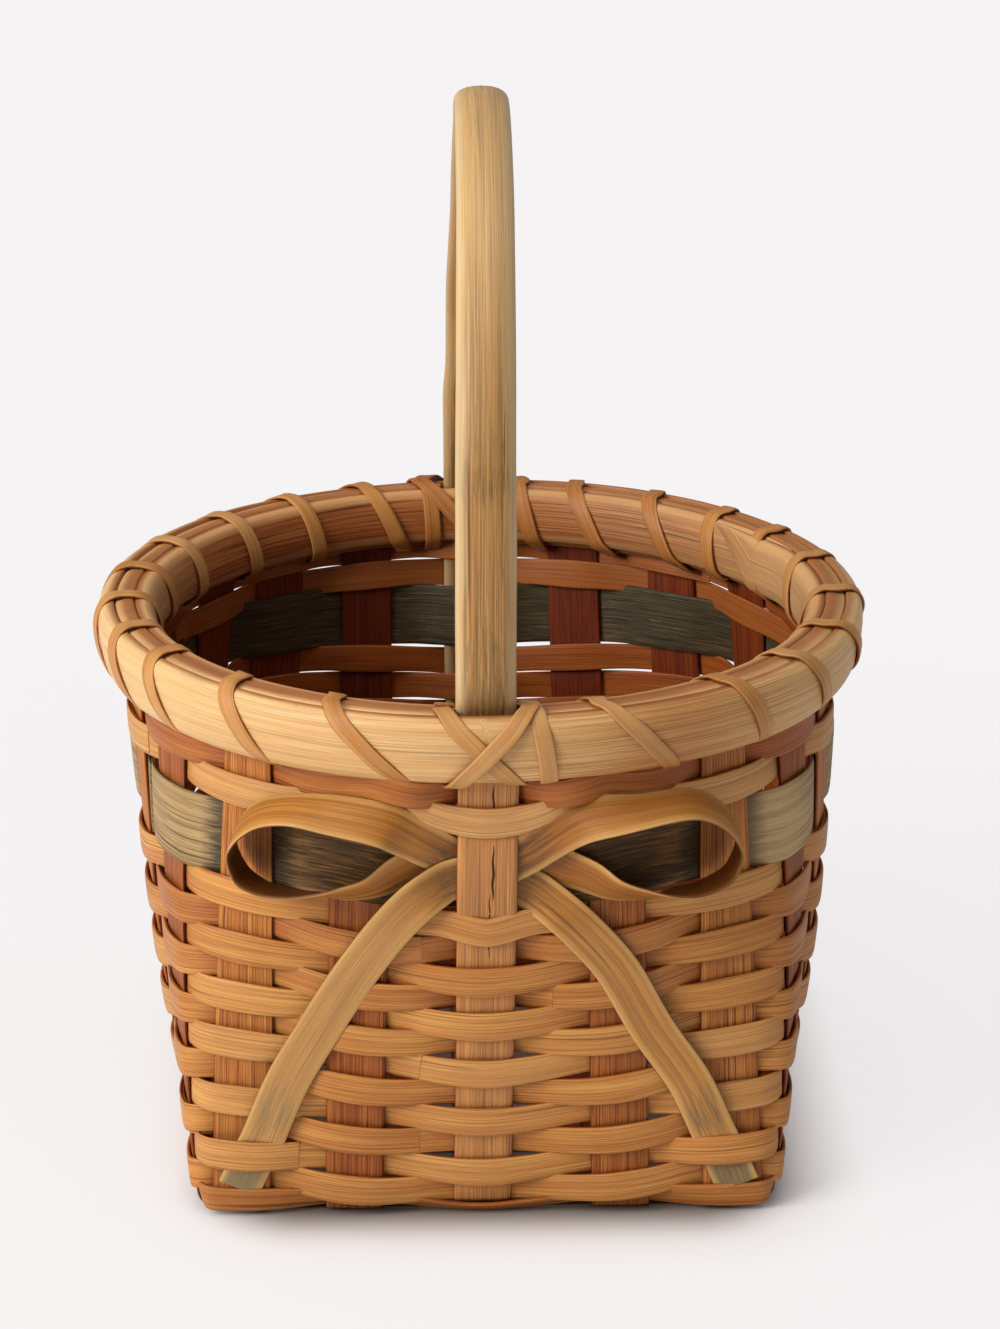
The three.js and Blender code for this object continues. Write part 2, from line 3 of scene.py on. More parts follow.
import bpy
import numpy as np
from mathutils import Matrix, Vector


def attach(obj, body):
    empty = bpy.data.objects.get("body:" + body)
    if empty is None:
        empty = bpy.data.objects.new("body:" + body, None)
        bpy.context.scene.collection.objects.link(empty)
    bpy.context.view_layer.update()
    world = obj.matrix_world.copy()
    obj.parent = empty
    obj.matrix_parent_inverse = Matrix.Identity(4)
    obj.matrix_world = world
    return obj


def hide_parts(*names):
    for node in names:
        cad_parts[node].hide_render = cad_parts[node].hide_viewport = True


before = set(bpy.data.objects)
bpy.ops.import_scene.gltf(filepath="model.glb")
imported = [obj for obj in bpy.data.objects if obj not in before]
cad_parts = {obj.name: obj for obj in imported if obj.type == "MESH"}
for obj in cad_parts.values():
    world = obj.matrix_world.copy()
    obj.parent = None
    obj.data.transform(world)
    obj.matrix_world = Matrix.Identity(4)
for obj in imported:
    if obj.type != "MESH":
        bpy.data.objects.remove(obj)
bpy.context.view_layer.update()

bl_info = {
    "name": "Woven Basket",
    "version": (1, 0, 0),
    "blender": (4, 5, 0),
    "location": "View3D > Sidebar > Basket",
    "description": "Builds a woven reed basket with a lashed rim, a hoop handle and a bow",
    "category": "Object",
}

# Wall, in millimetres: a square base whose uprights lean out to a round rim
BASE_HALF = 82.0
BEND_RADIUS = 5.0
RIM_RADIUS = 101.8
RIM_BOTTOM = 140.5
RIM_TOP = 160.0
WALL_SLOPE = 0.14
LOW_LEVEL = 0.75
HIGH_LEVEL = 2.55
WALL_FOOT = LOW_LEVEL + BEND_RADIUS
COLUMNS = 20
PER_SIDE = 5
STAKE_THICK = 1.5
UP = np.array([0.0, 0.0, 1.0])
HALF_STAKE = 8.3
# How far to each side of an upright, of the way to the next, a row lies straight over it
STAKE_SHARE = 0.25
BASE_CROSSINGS = (-69.0, -35.2, 0.0, 35.2, 69.0)
# Radius on which the middle uprights' feet would lie 18 degrees apart, as they do at the rim
BASE_SPREAD = BASE_CROSSINGS[3] / math.sin(math.radians(18))
# Points along the bend at an upright's foot
BEND_POINTS = 8
# How far a row pushes each upright it passes, and over what height
ROW_PUSH = 0.22
ROW_REACH = 3.6
UPRIGHT_TOP = RIM_TOP - 1.2
UPRIGHT_TONES = (0.1, 0.72, -0.35, 0.6, 0.05)
# Cracks in the bow's upright: from and to what height, distance across, width
SPLITS = ((84.5, 106.0, 0.7, 0.5), (103.5, 120.5, 1.5, 0.75), (129.0, 139.0, 1.4, 0.55))

# Bow, in millimetres, and the upright that it passes behind
BOW_COLUMN = 2
BOW_THICK = 0.95
# The upright stands away from the wall over this height, to leave room for the strips
POCKET_DEPTH = 2.5
POCKET_HALF = 14.5

# Rim, in millimetres: thicknesses, and how far out from the uprights' middle surface each strip lies
OUTER_THICK = 6.0
OUTER_PLACE = 1.45
INNER_THICK = 5.5
INNER_PLACE = -4.4
INNER_HEIGHT = 16.6
FILLER_THICK = 6.3
FILLER_PLACE = -1.5
LASHING_THICK = 0.95
# Share of a hoop's thickness that is its rounded side
DOME_SHARE = 0.82
# Where the inner hoop begins, and over how much its ends overlap, in degrees
INNER_START = 110.0
SCARF = 20.0

# Handle, in millimetres: a hoop whose legs thin to tails inside the wall
HANDLE_COLUMNS = (BOW_COLUMN, BOW_COLUMN + COLUMNS // 2)
HANDLE_TOP = 304.7
HANDLE_THICK = 7.5
TAIL_FOOT = 50.0
TAIL_TAPER = 70.0
TAIL_THIN = 1.2
TAIL_THICK = 3.05

# Handmade places of the uprights: millimetres across each side at the base, degrees round the rim.
# Columns run counter-clockwise from the front left corner.
BASE_PLACES = (
    (-69.6, -37.6, -1.2, 38.0, 69.9),
    (-69.2, -35.0, 0.4, 35.6, 68.8),
    (-69.0, -35.4, -0.3, 34.8, 69.1),
    (-68.8, -35.7, 0.2, 35.3, 69.2),
)
RIM_ANGLES = (
    -39.8, -19.8, 0.1, 19.9, 39.6,
    57.4, 73.2, 88.9, 104.6, 125.9,
    143.4, 162.4, 181.0, 199.4, 216.2,
    231.2, 248.4, 265.8, 283.4, 300.9,
)
# How far each side bellies out between base and rim, in millimetres, and the share of it at each place
BELLY = (0.0, 6.4, 1.0, 4.2)
BELLY_SHARES = (0.55, 0.92, 1.0, 0.92, 0.55)

# Rows from the bottom up: height at the middle of a side, climb to the corners, whether it passes outside
# even columns, how pale or dark it is, and the upright that it begins at. The top row's dark tone is
# painted shade under the rim.
ROWS = {
    2: (7.3, 4.6, False, 0.0, 15.55), 3: (15.0, 5.0, True, -0.1, 17.5), 4: (23.0, 5.2, False, 0.06, 18.5),
    5: (31.2, 5.4, True, -0.2, 12.5), 6: (39.5, 5.5, False, 0.03, 6.55), 7: (47.7, 5.5, True, -0.15, 18.5),
    8: (55.2, 5.5, False, 0.06, 13.5), 9: (62.6, 5.5, True, 0.0, 7.5), 10: (70.0, 5.5, False, 0.22, 19.5),
    11: (77.5, 5.3, True, 0.16, 14.5), 12: (85.2, 5.0, False, 0.28, 18.5), 13: (93.3, 4.6, True, -0.1, 5.5),
    14: (127.6, 1.0, True, -0.35, 15.5), 15: (135.3, 0.6, False, 0.7, 9.5),
}
ACCENT_ROW = (110.2, 3.0, False)
ACCENT_START = 16.5
# Where a row's ends overlap: over how many uprights, how far each lies off the row's middle, and how much
# thinner each is
WEAVER_LAP = (3.0, 0.42, 0.38)
ACCENT_LAP = (2.0, 0.4, 0.35)
# Beside the bow's upright the top pair stands out over the bow, and its neighbour closes up to it: for each
# row which way it is moved, how far, and the middle and spread of that, in uprights from the bow
BESIDE_BOW = {
    13: (("up", 2.3, 0.36, 0.25),),
    14: (("out", 2.9, 0.56, 0.2), ("up", 7.2, 0.74, 0.32), ("narrower", 0.42, 0.66, 0.24)),
    15: (("out", 4.4, 0.58, 0.28), ("up", 3.0, 0.8, 0.36), ("up", -1.2, 0.0, 0.42)),
}
# Climb of the rows across the back: heights, and millimetres of climb there
CLIMB_HEIGHTS = (0, 93.3, 110.2, 127.6, 135.3, 160)
CLIMBS = (0, 9.8, 8.0, 3.4, 4.6, 0)
POINTS_PER_COLUMN = 14
# The row that the bow's tails are tucked under
TUCKING_ROW = 3
# Depth of the grain, in metres
GRAIN_DEPTH = 0.0003


def linear(code):
    """An sRGB hex colour as linear red, green and blue, with alpha."""
    out = []
    for place in (0, 2, 4):
        value = int(code[place:place + 2], 16) / 255
        out.append(value / 12.92 if value <= 0.04045 else ((value + 0.055) / 1.055) ** 2.4)
    return (*out, 1.0)


MATH = "ShaderNodeMath"
VECTOR_MATH = "ShaderNodeVectorMath"
MIX = "ShaderNodeMix"
NOISE = "ShaderNodeTexNoise"
SPREAD = "ShaderNodeMapRange"
ATTRIBUTE = "ShaderNodeAttribute"
COMBINE = "ShaderNodeCombineXYZ"
NAMED = "GeometryNodeInputNamedAttribute"
STORE = "GeometryNodeStoreNamedAttribute"


def add(tree, kind, *inputs, **settings):
    """Adds a node with its settings, and links or fills its inputs.

    Inputs are given in order, or in a dict by name or number."""
    made = tree.nodes.new(kind)
    for name, value in settings.items():
        setattr(made, name, value)
    given = inputs[0] if inputs and isinstance(inputs[0], dict) else dict(enumerate(inputs))
    for place, value in given.items():
        if isinstance(value, bpy.types.Node):
            value = next(socket for socket in value.outputs if socket.enabled)
        if isinstance(value, bpy.types.NodeSocket):
            tree.links.new(value, made.inputs[place])
        else:
            made.inputs[place].default_value = value
    return made


# Wall geometry


def unit(vectors):
    """The vectors at length one."""
    return vectors / np.maximum(np.linalg.norm(vectors, axis=-1, keepdims=True), 1e-9)


def clamp(value):
    """A value kept between nought and one."""
    return np.clip(value, 0, 1)


def hump(value, middle, spread):
    """One at the middle, falling smoothly to nought on both sides."""
    return np.exp(-((value - middle) / spread) ** 2)


def uprights_off(turns, column):
    """How many uprights a place lies from one of them, the shorter way round."""
    return np.abs((turns - column + COLUMNS / 2) % COLUMNS - COLUMNS / 2)


def corner_share(angle):
    """Nought at the middle of each side, one at the corners."""
    return (1 - np.cos(4 * angle)) / 2


def behind(angle):
    """Nought round the front and sides, one across the back."""
    share = clamp((np.abs((angle + math.pi) % (2 * math.pi) - math.pi) - 1.6) / 0.9)
    return share * share * (3 - 2 * share)


def back_climb(middle):
    """How far a row of this height climbs towards the back, in millimetres."""
    return np.interp(middle, CLIMB_HEIGHTS, CLIMBS)


def column_frame(column, height):
    """Middle of an upright at a height: point, tangent counter-clockwise and outward normal, flat."""
    side, place = divmod(column, PER_SIDE)
    facing = math.radians(90 * side - 90)
    height = np.asarray(height, float)
    share = clamp((height - WALL_FOOT) / (RIM_BOTTOM - WALL_FOOT))
    normal = np.array([math.cos(facing), math.sin(facing)])
    tangent = np.array([-math.sin(facing), math.cos(facing)])
    foot = normal * BASE_HALF + tangent * BASE_PLACES[side][place]
    rim_angle = math.radians(RIM_ANGLES[column] - 90)
    rim = np.array([math.cos(rim_angle), math.sin(rim_angle)]) * RIM_RADIUS
    over = np.clip(height - RIM_BOTTOM, 0, None)[..., None] * WALL_SLOPE * rim / RIM_RADIUS
    belly = BELLY[side] * BELLY_SHARES[place] * np.sin(np.pi * share ** 0.8)
    point = foot + (rim - foot) * share[..., None] + over + normal * belly[..., None]
    angle = facing + share * (rim_angle - facing)
    outward = np.stack([np.cos(angle), np.sin(angle)], -1)
    along = np.stack([-outward[..., 1], outward[..., 0]], -1)
    return point, along, outward


def wall_flat(turn, height):
    """Middle surface of the wall, seen from above, where whole turns are the uprights.

    It is straight over each upright, and a smooth curve over the gap to the next."""
    turn = np.asarray(turn, float)
    height = np.broadcast_to(np.asarray(height, float), turn.shape)
    out = np.zeros(turn.shape + (2,))
    column = np.floor(turn + 0.5).astype(int)
    part = turn - column
    for one in range(COLUMNS):
        here = column % COLUMNS == one
        following = (one + 1) % COLUMNS
        on_stake = here & (np.abs(part) <= STAKE_SHARE)
        point, along, _ = column_frame(one, height[on_stake])
        out[on_stake] = point + along * (part[on_stake] / STAKE_SHARE * HALF_STAKE)[:, None]
        start_gap = here & (part > STAKE_SHARE)
        end_gap = (column % COLUMNS == following) & (part < -STAKE_SHARE)
        for chosen, begin in ((start_gap, STAKE_SHARE), (end_gap, STAKE_SHARE - 1)):
            step = ((part[chosen] - begin) / (1 - 2 * STAKE_SHARE))[:, None]
            p0, t0, _ = column_frame(one, height[chosen])
            p1, t1, _ = column_frame(following, height[chosen])
            p0 = p0 + t0 * HALF_STAKE
            p1 = p1 - t1 * HALF_STAKE
            chord = np.linalg.norm(p1 - p0, axis=-1, keepdims=True)
            out[chosen] = (
                p0 * (2 * step ** 3 - 3 * step ** 2 + 1) + t0 * chord * (step ** 3 - 2 * step ** 2 + step)
                + p1 * (3 * step ** 2 - 2 * step ** 3) + t1 * chord * (step ** 3 - step ** 2)
            )
    return out


def wall(turn, height):
    """Wall point and outward normal in space."""
    turn = np.asarray(turn, float)
    height = np.broadcast_to(np.asarray(height, float), turn.shape)
    flat = wall_flat(turn, height)
    along = wall_flat(turn + 0.02, height) - wall_flat(turn - 0.02, height)
    up = wall_flat(turn, height + 1) - wall_flat(turn, height - 1)
    point = np.concatenate([flat, height[..., None]], -1)
    along3 = np.concatenate([along, np.zeros_like(height)[..., None]], -1)
    up3 = np.concatenate([up, np.full_like(height, 2)[..., None]], -1)
    return point, unit(np.cross(along3, up3))


def column_angle(turns):
    """Angle round the basket, in radians from the middle of the front, of a place between uprights."""
    angles = (*RIM_ANGLES, RIM_ANGLES[0] + 360)
    return np.radians(np.interp(turns % COLUMNS, np.arange(COLUMNS + 1), angles))


def tail_thickness(height):
    """Thickness of the handle's tail inside the wall."""
    share = clamp((np.asarray(height, float) - TAIL_FOOT) / TAIL_TAPER)
    return np.where(np.asarray(height) < TAIL_FOOT, 0, TAIL_THIN + share * (TAIL_THICK - TAIL_THIN))


# Strips swept by Geometry Nodes


def reed_tree():
    """Geometry Nodes tree that sweeps a reed or a bent rod along a guide of points with their own facing."""
    tree = bpy.data.node_groups.new("Reed along a path", "GeometryNodeTree")
    face = tree.interface
    face.new_socket("Guide", in_out="INPUT", socket_type="NodeSocketGeometry")
    for name in ("Front Share", "Front Squareness", "Back Squareness", "Waviness"):
        face.new_socket(name, in_out="INPUT", socket_type="NodeSocketFloat").default_value = 0.5
    face.new_socket("Section Points", in_out="INPUT", socket_type="NodeSocketInt").default_value = 16
    face.new_socket("Seed", in_out="INPUT", socket_type="NodeSocketInt").default_value = 1
    face.new_socket("Material", in_out="INPUT", socket_type="NodeSocketMaterial")
    face.new_socket("Reed", in_out="OUTPUT", socket_type="NodeSocketGeometry")
    given = add(tree, "NodeGroupInput").outputs
    curve = add(tree, "GeometryNodeMeshToCurve", {"Mesh": given["Guide"]})
    circle = add(tree, "GeometryNodeCurvePrimitiveCircle", {
        "Resolution": given["Section Points"], "Radius": 0.0001}, mode="RADIUS")
    capture = tree.nodes.new("GeometryNodeCaptureAttribute")
    capture.capture_items.new("FLOAT", "Around")
    tree.links.new(circle.outputs["Curve"], capture.inputs["Geometry"])
    tree.links.new(add(tree, "GeometryNodeSplineParameter").outputs["Factor"], capture.inputs["Around"])
    swept = add(tree, "GeometryNodeCurveToMesh", {
        "Curve": curve, "Profile Curve": capture.outputs["Geometry"], "Fill Caps": True})

    # Section: squared-off ellipse, with its own share of the thickness and squareness at the front and back
    angle = add(tree, MATH, capture.outputs["Around"], 2 * math.pi, operation="MULTIPLY")
    side = add(tree, MATH, angle, operation="COSINE")
    out = add(tree, MATH, angle, operation="SINE")
    front = add(tree, MATH, out, 0.0, operation="GREATER_THAN")
    power = add(tree, MIX, {
        "Factor": front, "A": given["Back Squareness"], "B": given["Front Squareness"]}, data_type="FLOAT")
    rest = add(tree, MATH, 1.0, given["Front Share"], operation="SUBTRACT")
    share = add(tree, MIX, {"Factor": front, "A": rest, "B": given["Front Share"]}, data_type="FLOAT")
    reach = {}
    for key, wave in (("across", side), ("outward", out)):
        size = add(tree, MATH, wave, operation="ABSOLUTE")
        size = add(tree, MATH, size, power, operation="POWER")
        sign = add(tree, MATH, wave, operation="SIGN")
        reach[key] = add(tree, MATH, size, sign, operation="MULTIPLY")
    outward = add(tree, MATH, reach["outward"], share, operation="MULTIPLY")

    # A slow wander of each edge along the strip
    along = add(tree, NAMED, {"Name": "along"}, data_type="FLOAT")
    seed = add(tree, MATH, given["Seed"], 7.31, operation="MULTIPLY")
    edge = add(tree, MATH, seed, add(tree, MATH, side, operation="SIGN"), operation="ADD")
    place = add(tree, COMBINE, add(tree, MATH, along, 45.0, operation="MULTIPLY"), edge)
    wander = add(tree, NOISE, {"Vector": place, "Scale": 1.0, "Detail": 1.0}, noise_dimensions="2D")
    wander = add(tree, MATH, wander, 0.5, operation="SUBTRACT")
    grow = add(tree, MATH, wander, given["Waviness"], 1.0, operation="MULTIPLY_ADD")
    width = add(tree, NAMED, {"Name": "width"}, data_type="FLOAT")
    half = add(tree, MATH, width, 0.5, operation="MULTIPLY")
    half = add(tree, MATH, half, grow, operation="MULTIPLY")
    across = add(tree, MATH, reach["across"], half, operation="MULTIPLY")
    thick = add(tree, NAMED, {"Name": "thick"}, data_type="FLOAT")
    depth = add(tree, MATH, outward, thick, operation="MULTIPLY")

    normal = add(tree, NAMED, {"Name": "face"}, data_type="FLOAT_VECTOR")
    way = add(tree, NAMED, {"Name": "way"}, data_type="FLOAT_VECTOR")
    beside = add(tree, VECTOR_MATH, normal, way, operation="CROSS_PRODUCT")
    beside = add(tree, VECTOR_MATH, beside, operation="NORMALIZE")
    centre = add(tree, NAMED, {"Name": "centre"}, data_type="FLOAT_VECTOR")
    sideways = add(tree, VECTOR_MATH, {0: beside, "Scale": across}, operation="SCALE")
    forward = add(tree, VECTOR_MATH, {0: normal, "Scale": depth}, operation="SCALE")
    spot = add(tree, VECTOR_MATH, centre, sideways, operation="ADD")
    spot = add(tree, VECTOR_MATH, spot, forward, operation="ADD")
    made = add(tree, "GeometryNodeSetPosition", {"Geometry": swept, "Position": spot})

    # Grain place in metres, and how far round to the edge and the back each point lies
    grain = add(tree, COMBINE, along, across)
    made = add(tree, STORE, {
        "Geometry": made, "Name": "UVMap", "Value": grain}, data_type="FLOAT2", domain="CORNER")
    rim = add(tree, MATH, reach["across"], operation="ABSOLUTE")
    rear = add(tree, MATH, 1.0, front, operation="SUBTRACT")
    for key, value in (("edge", rim), ("back", rear)):
        made = add(tree, STORE, {
            "Geometry": made, "Name": key, "Value": value}, data_type="FLOAT", domain="POINT")
    made = add(tree, "GeometryNodeSetShadeSmooth", {"Geometry": made})
    made = add(tree, "GeometryNodeRealizeInstances", {"Geometry": made})
    made = add(tree, "GeometryNodeSetMaterial", {"Geometry": made, "Material": given["Material"]})
    add(tree, "NodeGroupOutput", made)
    return tree


SHAPES = {
    "flat": {"Front Share": 0.5, "Front Squareness": 0.52, "Back Squareness": 0.34, "Waviness": 0.05},
    "domed": {"Front Share": DOME_SHARE, "Front Squareness": 0.76, "Back Squareness": 0.26, "Waviness": 0.02,
              "Section Points": 30},
    "filler": {"Front Share": 0.5, "Front Squareness": 0.3, "Back Squareness": 0.3, "Waviness": 0.02,
               "Section Points": 24},
    "handle": {"Front Share": 0.6, "Front Squareness": 0.86, "Back Squareness": 0.62, "Waviness": 0.015,
               "Section Points": 28},
}


def sweep(name, path, faces, width, thick, material, shape, seed, closed=False, **channels):
    """Makes one mesh piece from a path in millimetres, its facing, and width and thickness along it."""
    path = np.asarray(path, float)
    count = len(path)
    if closed:
        way = np.roll(path, -1, 0) - np.roll(path, 1, 0)
        steps = np.linalg.norm(path - np.roll(path, 1, 0), axis=1)
    else:
        way = np.gradient(path, axis=0)
        steps = np.linalg.norm(np.diff(path, axis=0, prepend=path[:1]), axis=1)
    way = unit(way)
    faces = np.asarray(faces, float)
    faces = unit(faces - way * (faces * way).sum(1)[:, None])
    channels = {"width": width, "thick": thick, "along": np.cumsum(steps), "shift": 2.7 * seed, **channels}
    mesh = bpy.data.meshes.new(name + "_guide")
    edges = [(k, k + 1) for k in range(count - 1)] + ([(count - 1, 0)] if closed else [])
    mesh.from_pydata((path * 0.001).tolist(), edges, [])
    for key, value in (("centre", path * 0.001), ("way", way), ("face", faces)):
        layer = mesh.attributes.new(key, "FLOAT_VECTOR", "POINT")
        layer.data.foreach_set("vector", np.ascontiguousarray(value, np.float32).ravel())
    for key, value in channels.items():
        unit_share = 0.001 if key in ("width", "thick", "along") else 1
        layer = mesh.attributes.new(key, "FLOAT", "POINT")
        layer.data.foreach_set("value", (np.broadcast_to(value, (count,)) * unit_share).astype(np.float32))
    guide = bpy.data.objects.new(name + "_guide", mesh)
    bpy.context.scene.collection.objects.link(guide)
    tree = bpy.data.node_groups.get("Reed along a path") or reed_tree()
    modifier = guide.modifiers.new("Reed", "NODES")
    modifier.node_group = tree
    sockets = {item.name: item.identifier for item in tree.interface.items_tree if item.in_out == "INPUT"}
    for key, value in {**SHAPES[shape], "Seed": seed, "Material": material}.items():
        modifier[sockets[key]] = value
    return harvest(guide, name)


def harvest(guide, name):
    """Turns a guide's evaluated Geometry Nodes result into a plain mesh object, and removes the guide."""
    evaluated = guide.evaluated_get(bpy.context.evaluated_depsgraph_get())
    mesh = bpy.data.meshes.new_from_object(evaluated)
    mesh.name = name
    piece = bpy.data.objects.new(name, mesh)
    bpy.context.scene.collection.objects.link(piece)
    for layer in [item.name for item in mesh.attributes]:
        if layer in ("centre", "way", "face", "width", "thick", "along"):
            mesh.attributes.remove(mesh.attributes[layer])
    old = guide.data
    bpy.data.objects.remove(guide)
    bpy.data.meshes.remove(old)
    return piece


def settle(piece, slot, *nodes):
    """Puts a finished piece on the basket's one body in place of its CAD nodes."""
    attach(piece, "root")
    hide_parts(*nodes)


def between(p, q, start, end, time):
    """A value on its way from p at the start to q at the end."""
    return p * (end - time) / (end - start) + q * (time - start) / (end - start)


def smooth_path(points, spacing):
    """Centripetal Catmull-Rom curve through rows of numbers whose first three are a place in millimetres."""
    points = np.asarray(points, float)
    gaps = np.linalg.norm(np.diff(points[:, :3], axis=0), axis=1)
    knots = np.concatenate([[0], np.cumsum(np.sqrt(np.maximum(gaps, 1e-6)))])
    padded = np.vstack([2 * points[0] - points[1], points, 2 * points[-1] - points[-2]])
    times = np.concatenate([[2 * knots[0] - knots[1]], knots, [2 * knots[-1] - knots[-2]]])
    out = []
    for k in range(len(points) - 1):
        t0, t1, t2, t3 = times[k:k + 4]
        p0, p1, p2, p3 = padded[k:k + 4]
        steps = max(2, int(round(gaps[k] / spacing)))
        for t in np.linspace(t1, t2, steps, endpoint=False):
            middle = between(p1, p2, t1, t2, t)
            early = between(between(p0, p1, t0, t1, t), middle, t0, t2, t)
            late = between(middle, between(p2, p3, t2, t3, t), t1, t3, t)
            out.append(between(early, late, t1, t2, t))
    out.append(points[-1])
    return np.array(out)


# Materials


def reed_material(name, colours, line_mm, streak, rough, bump, fleck=0.3,
                  turned="d8a87c", back="c8a48e", worn=None, dye=None):
    """Split reed: long fibres run along the strip, with dark pores between them.

    The colours are the skin, the deeper fibre, the dark line and the pore. An attribute called tone turns a
    strip paler below nought and darker above it, and back darkens the side that faces away: partly that
    side's own darker colour, partly painted shade."""
    made = bpy.data.materials.new(name)
    made.use_nodes = True
    tree = made.node_tree
    tree.nodes.clear()
    pale, mid, deep, pore = (linear(code) for code in colours)
    tone = add(tree, ATTRIBUTE, attribute_name="tone").outputs["Fac"]
    shift = add(tree, ATTRIBUTE, attribute_name="shift").outputs["Fac"]
    behind_share = add(tree, ATTRIBUTE, attribute_name="back").outputs["Fac"]
    grain = add(tree, "ShaderNodeSeparateXYZ", add(tree, "ShaderNodeUVMap", uv_map="UVMap")).outputs
    spot = add(tree, COMBINE, grain[0], grain[1], shift)

    # Noises drawn out along the strip: features so many millimetres long and wide, each at its own depth
    noise = {}
    for key, long_mm, wide_mm, detail, rough_share, depth in (
        ("broad", 90, 3.0, 2.0, 0.5, 0.0), ("lines", 80, line_mm, 2.0, 0.6, 3.7),
        ("hairs", 19, 0.26, 3.0, 0.6, 7.1), ("patch", 27, 8, 2.0, 0.5, 11.9),
        ("dots", 2.2, 0.45, 1.0, 0.5, 17.3), ("ragged", 14, 0.8, 4.0, 0.72, 23.1),
        ("cracks", 60, line_mm * 1.9, 1.0, 0.5, 31.7),
    ):
        scaled = add(tree, "ShaderNodeMapping", {
            0: spot, 1: (0.0, 0.0, depth), 3: (1000 / long_mm, 1000 / wide_mm, 1.0)})
        noise[key] = add(tree, NOISE, {
            "Vector": scaled, "Scale": 1.0, "Detail": detail, "Roughness": rough_share}).outputs[0]

    # Colour from the skin up, each step with its share and its way of mixing
    steps = []
    for key, low, high, most, towards in (
        ("broad", 0.36, 0.64, 1.0, mid), ("patch", 0.46, 0.7, 0.6, mid), ("lines", 0.46, 0.68, streak, deep),
        ("hairs", 0.47, 0.68, streak * 0.8, deep), ("cracks", 0.67, 0.74, streak * 0.8, pore),
        ("dots", 0.74, 0.82, fleck, pore),
    ):
        steps.append((add(tree, SPREAD, noise[key], low, high, 0.0, most), towards, "MIX"))
    if dye:
        # Dye lies in ragged streaks where the stain attribute is strong, and on its share of the back
        light, dark, back_share = dye
        stain = add(tree, ATTRIBUTE, attribute_name="stain").outputs["Fac"]
        hidden = add(tree, MATH, behind_share, back_share, operation="MULTIPLY")
        stain = add(tree, MATH, stain, hidden, operation="MAXIMUM")
        ragged = add(tree, MATH, noise["ragged"], 0.5, operation="SUBTRACT")
        ragged = add(tree, MATH, ragged, 2.0, stain, operation="MULTIPLY_ADD")
        soaked = add(tree, SPREAD, ragged, 0.25, 0.8)
        touched = add(tree, SPREAD, stain, 0.0, 0.1)
        soaked = add(tree, MATH, soaked, touched, operation="MULTIPLY")
        which = add(tree, SPREAD, noise["hairs"], 0.38, 0.66)
        tint = add(tree, MIX, {0: which, 6: linear(light), 7: linear(dark)}, data_type="RGBA")
        steps.append((soaked, tint, "MIX"))
    steps.append((add(tree, SPREAD, tone, 0.0, 1.0, 0.0, 1.0), linear(turned), "MULTIPLY"))
    steps.append((add(tree, SPREAD, tone, 0.0, -1.0, 0.0, 0.45), linear("edcb92"), "MIX"))
    if worn:
        # The skin is paler along both edges: partly rubbed wear, partly a painted highlight where the edges
        # catch the light
        edge = add(tree, ATTRIBUTE, attribute_name="edge").outputs["Fac"]
        rubbed = add(tree, MATH, noise["patch"], 0.3, edge, operation="MULTIPLY_ADD")
        steps.append((add(tree, SPREAD, rubbed, 0.76, 1.08, 0.0, 0.8), linear(worn), "MIX"))
    # The side facing away is multiplied by the back colour: partly its own colour, partly painted shade
    steps.append((behind_share, linear(back), "MULTIPLY"))
    colour = pale
    for share, towards, blend in steps:
        colour = add(tree, MIX, {0: share, 6: colour, 7: towards}, data_type="RGBA", blend_type=blend)

    height = add(tree, MATH, noise["lines"], noise["hairs"], operation="ADD")
    bumped = add(tree, "ShaderNodeBump", {
        "Strength": bump, "Distance": GRAIN_DEPTH, "Height": height}, invert=True)
    gloss = add(tree, SPREAD, noise["lines"], 0.3, 0.75, rough - 0.07, rough + 0.12)
    surface = add(tree, "ShaderNodeBsdfPrincipled", {
        "Base Color": colour, "Roughness": gloss, "Normal": bumped, "Specular IOR Level": 0.3})
    add(tree, "ShaderNodeOutputMaterial", surface)
    return made


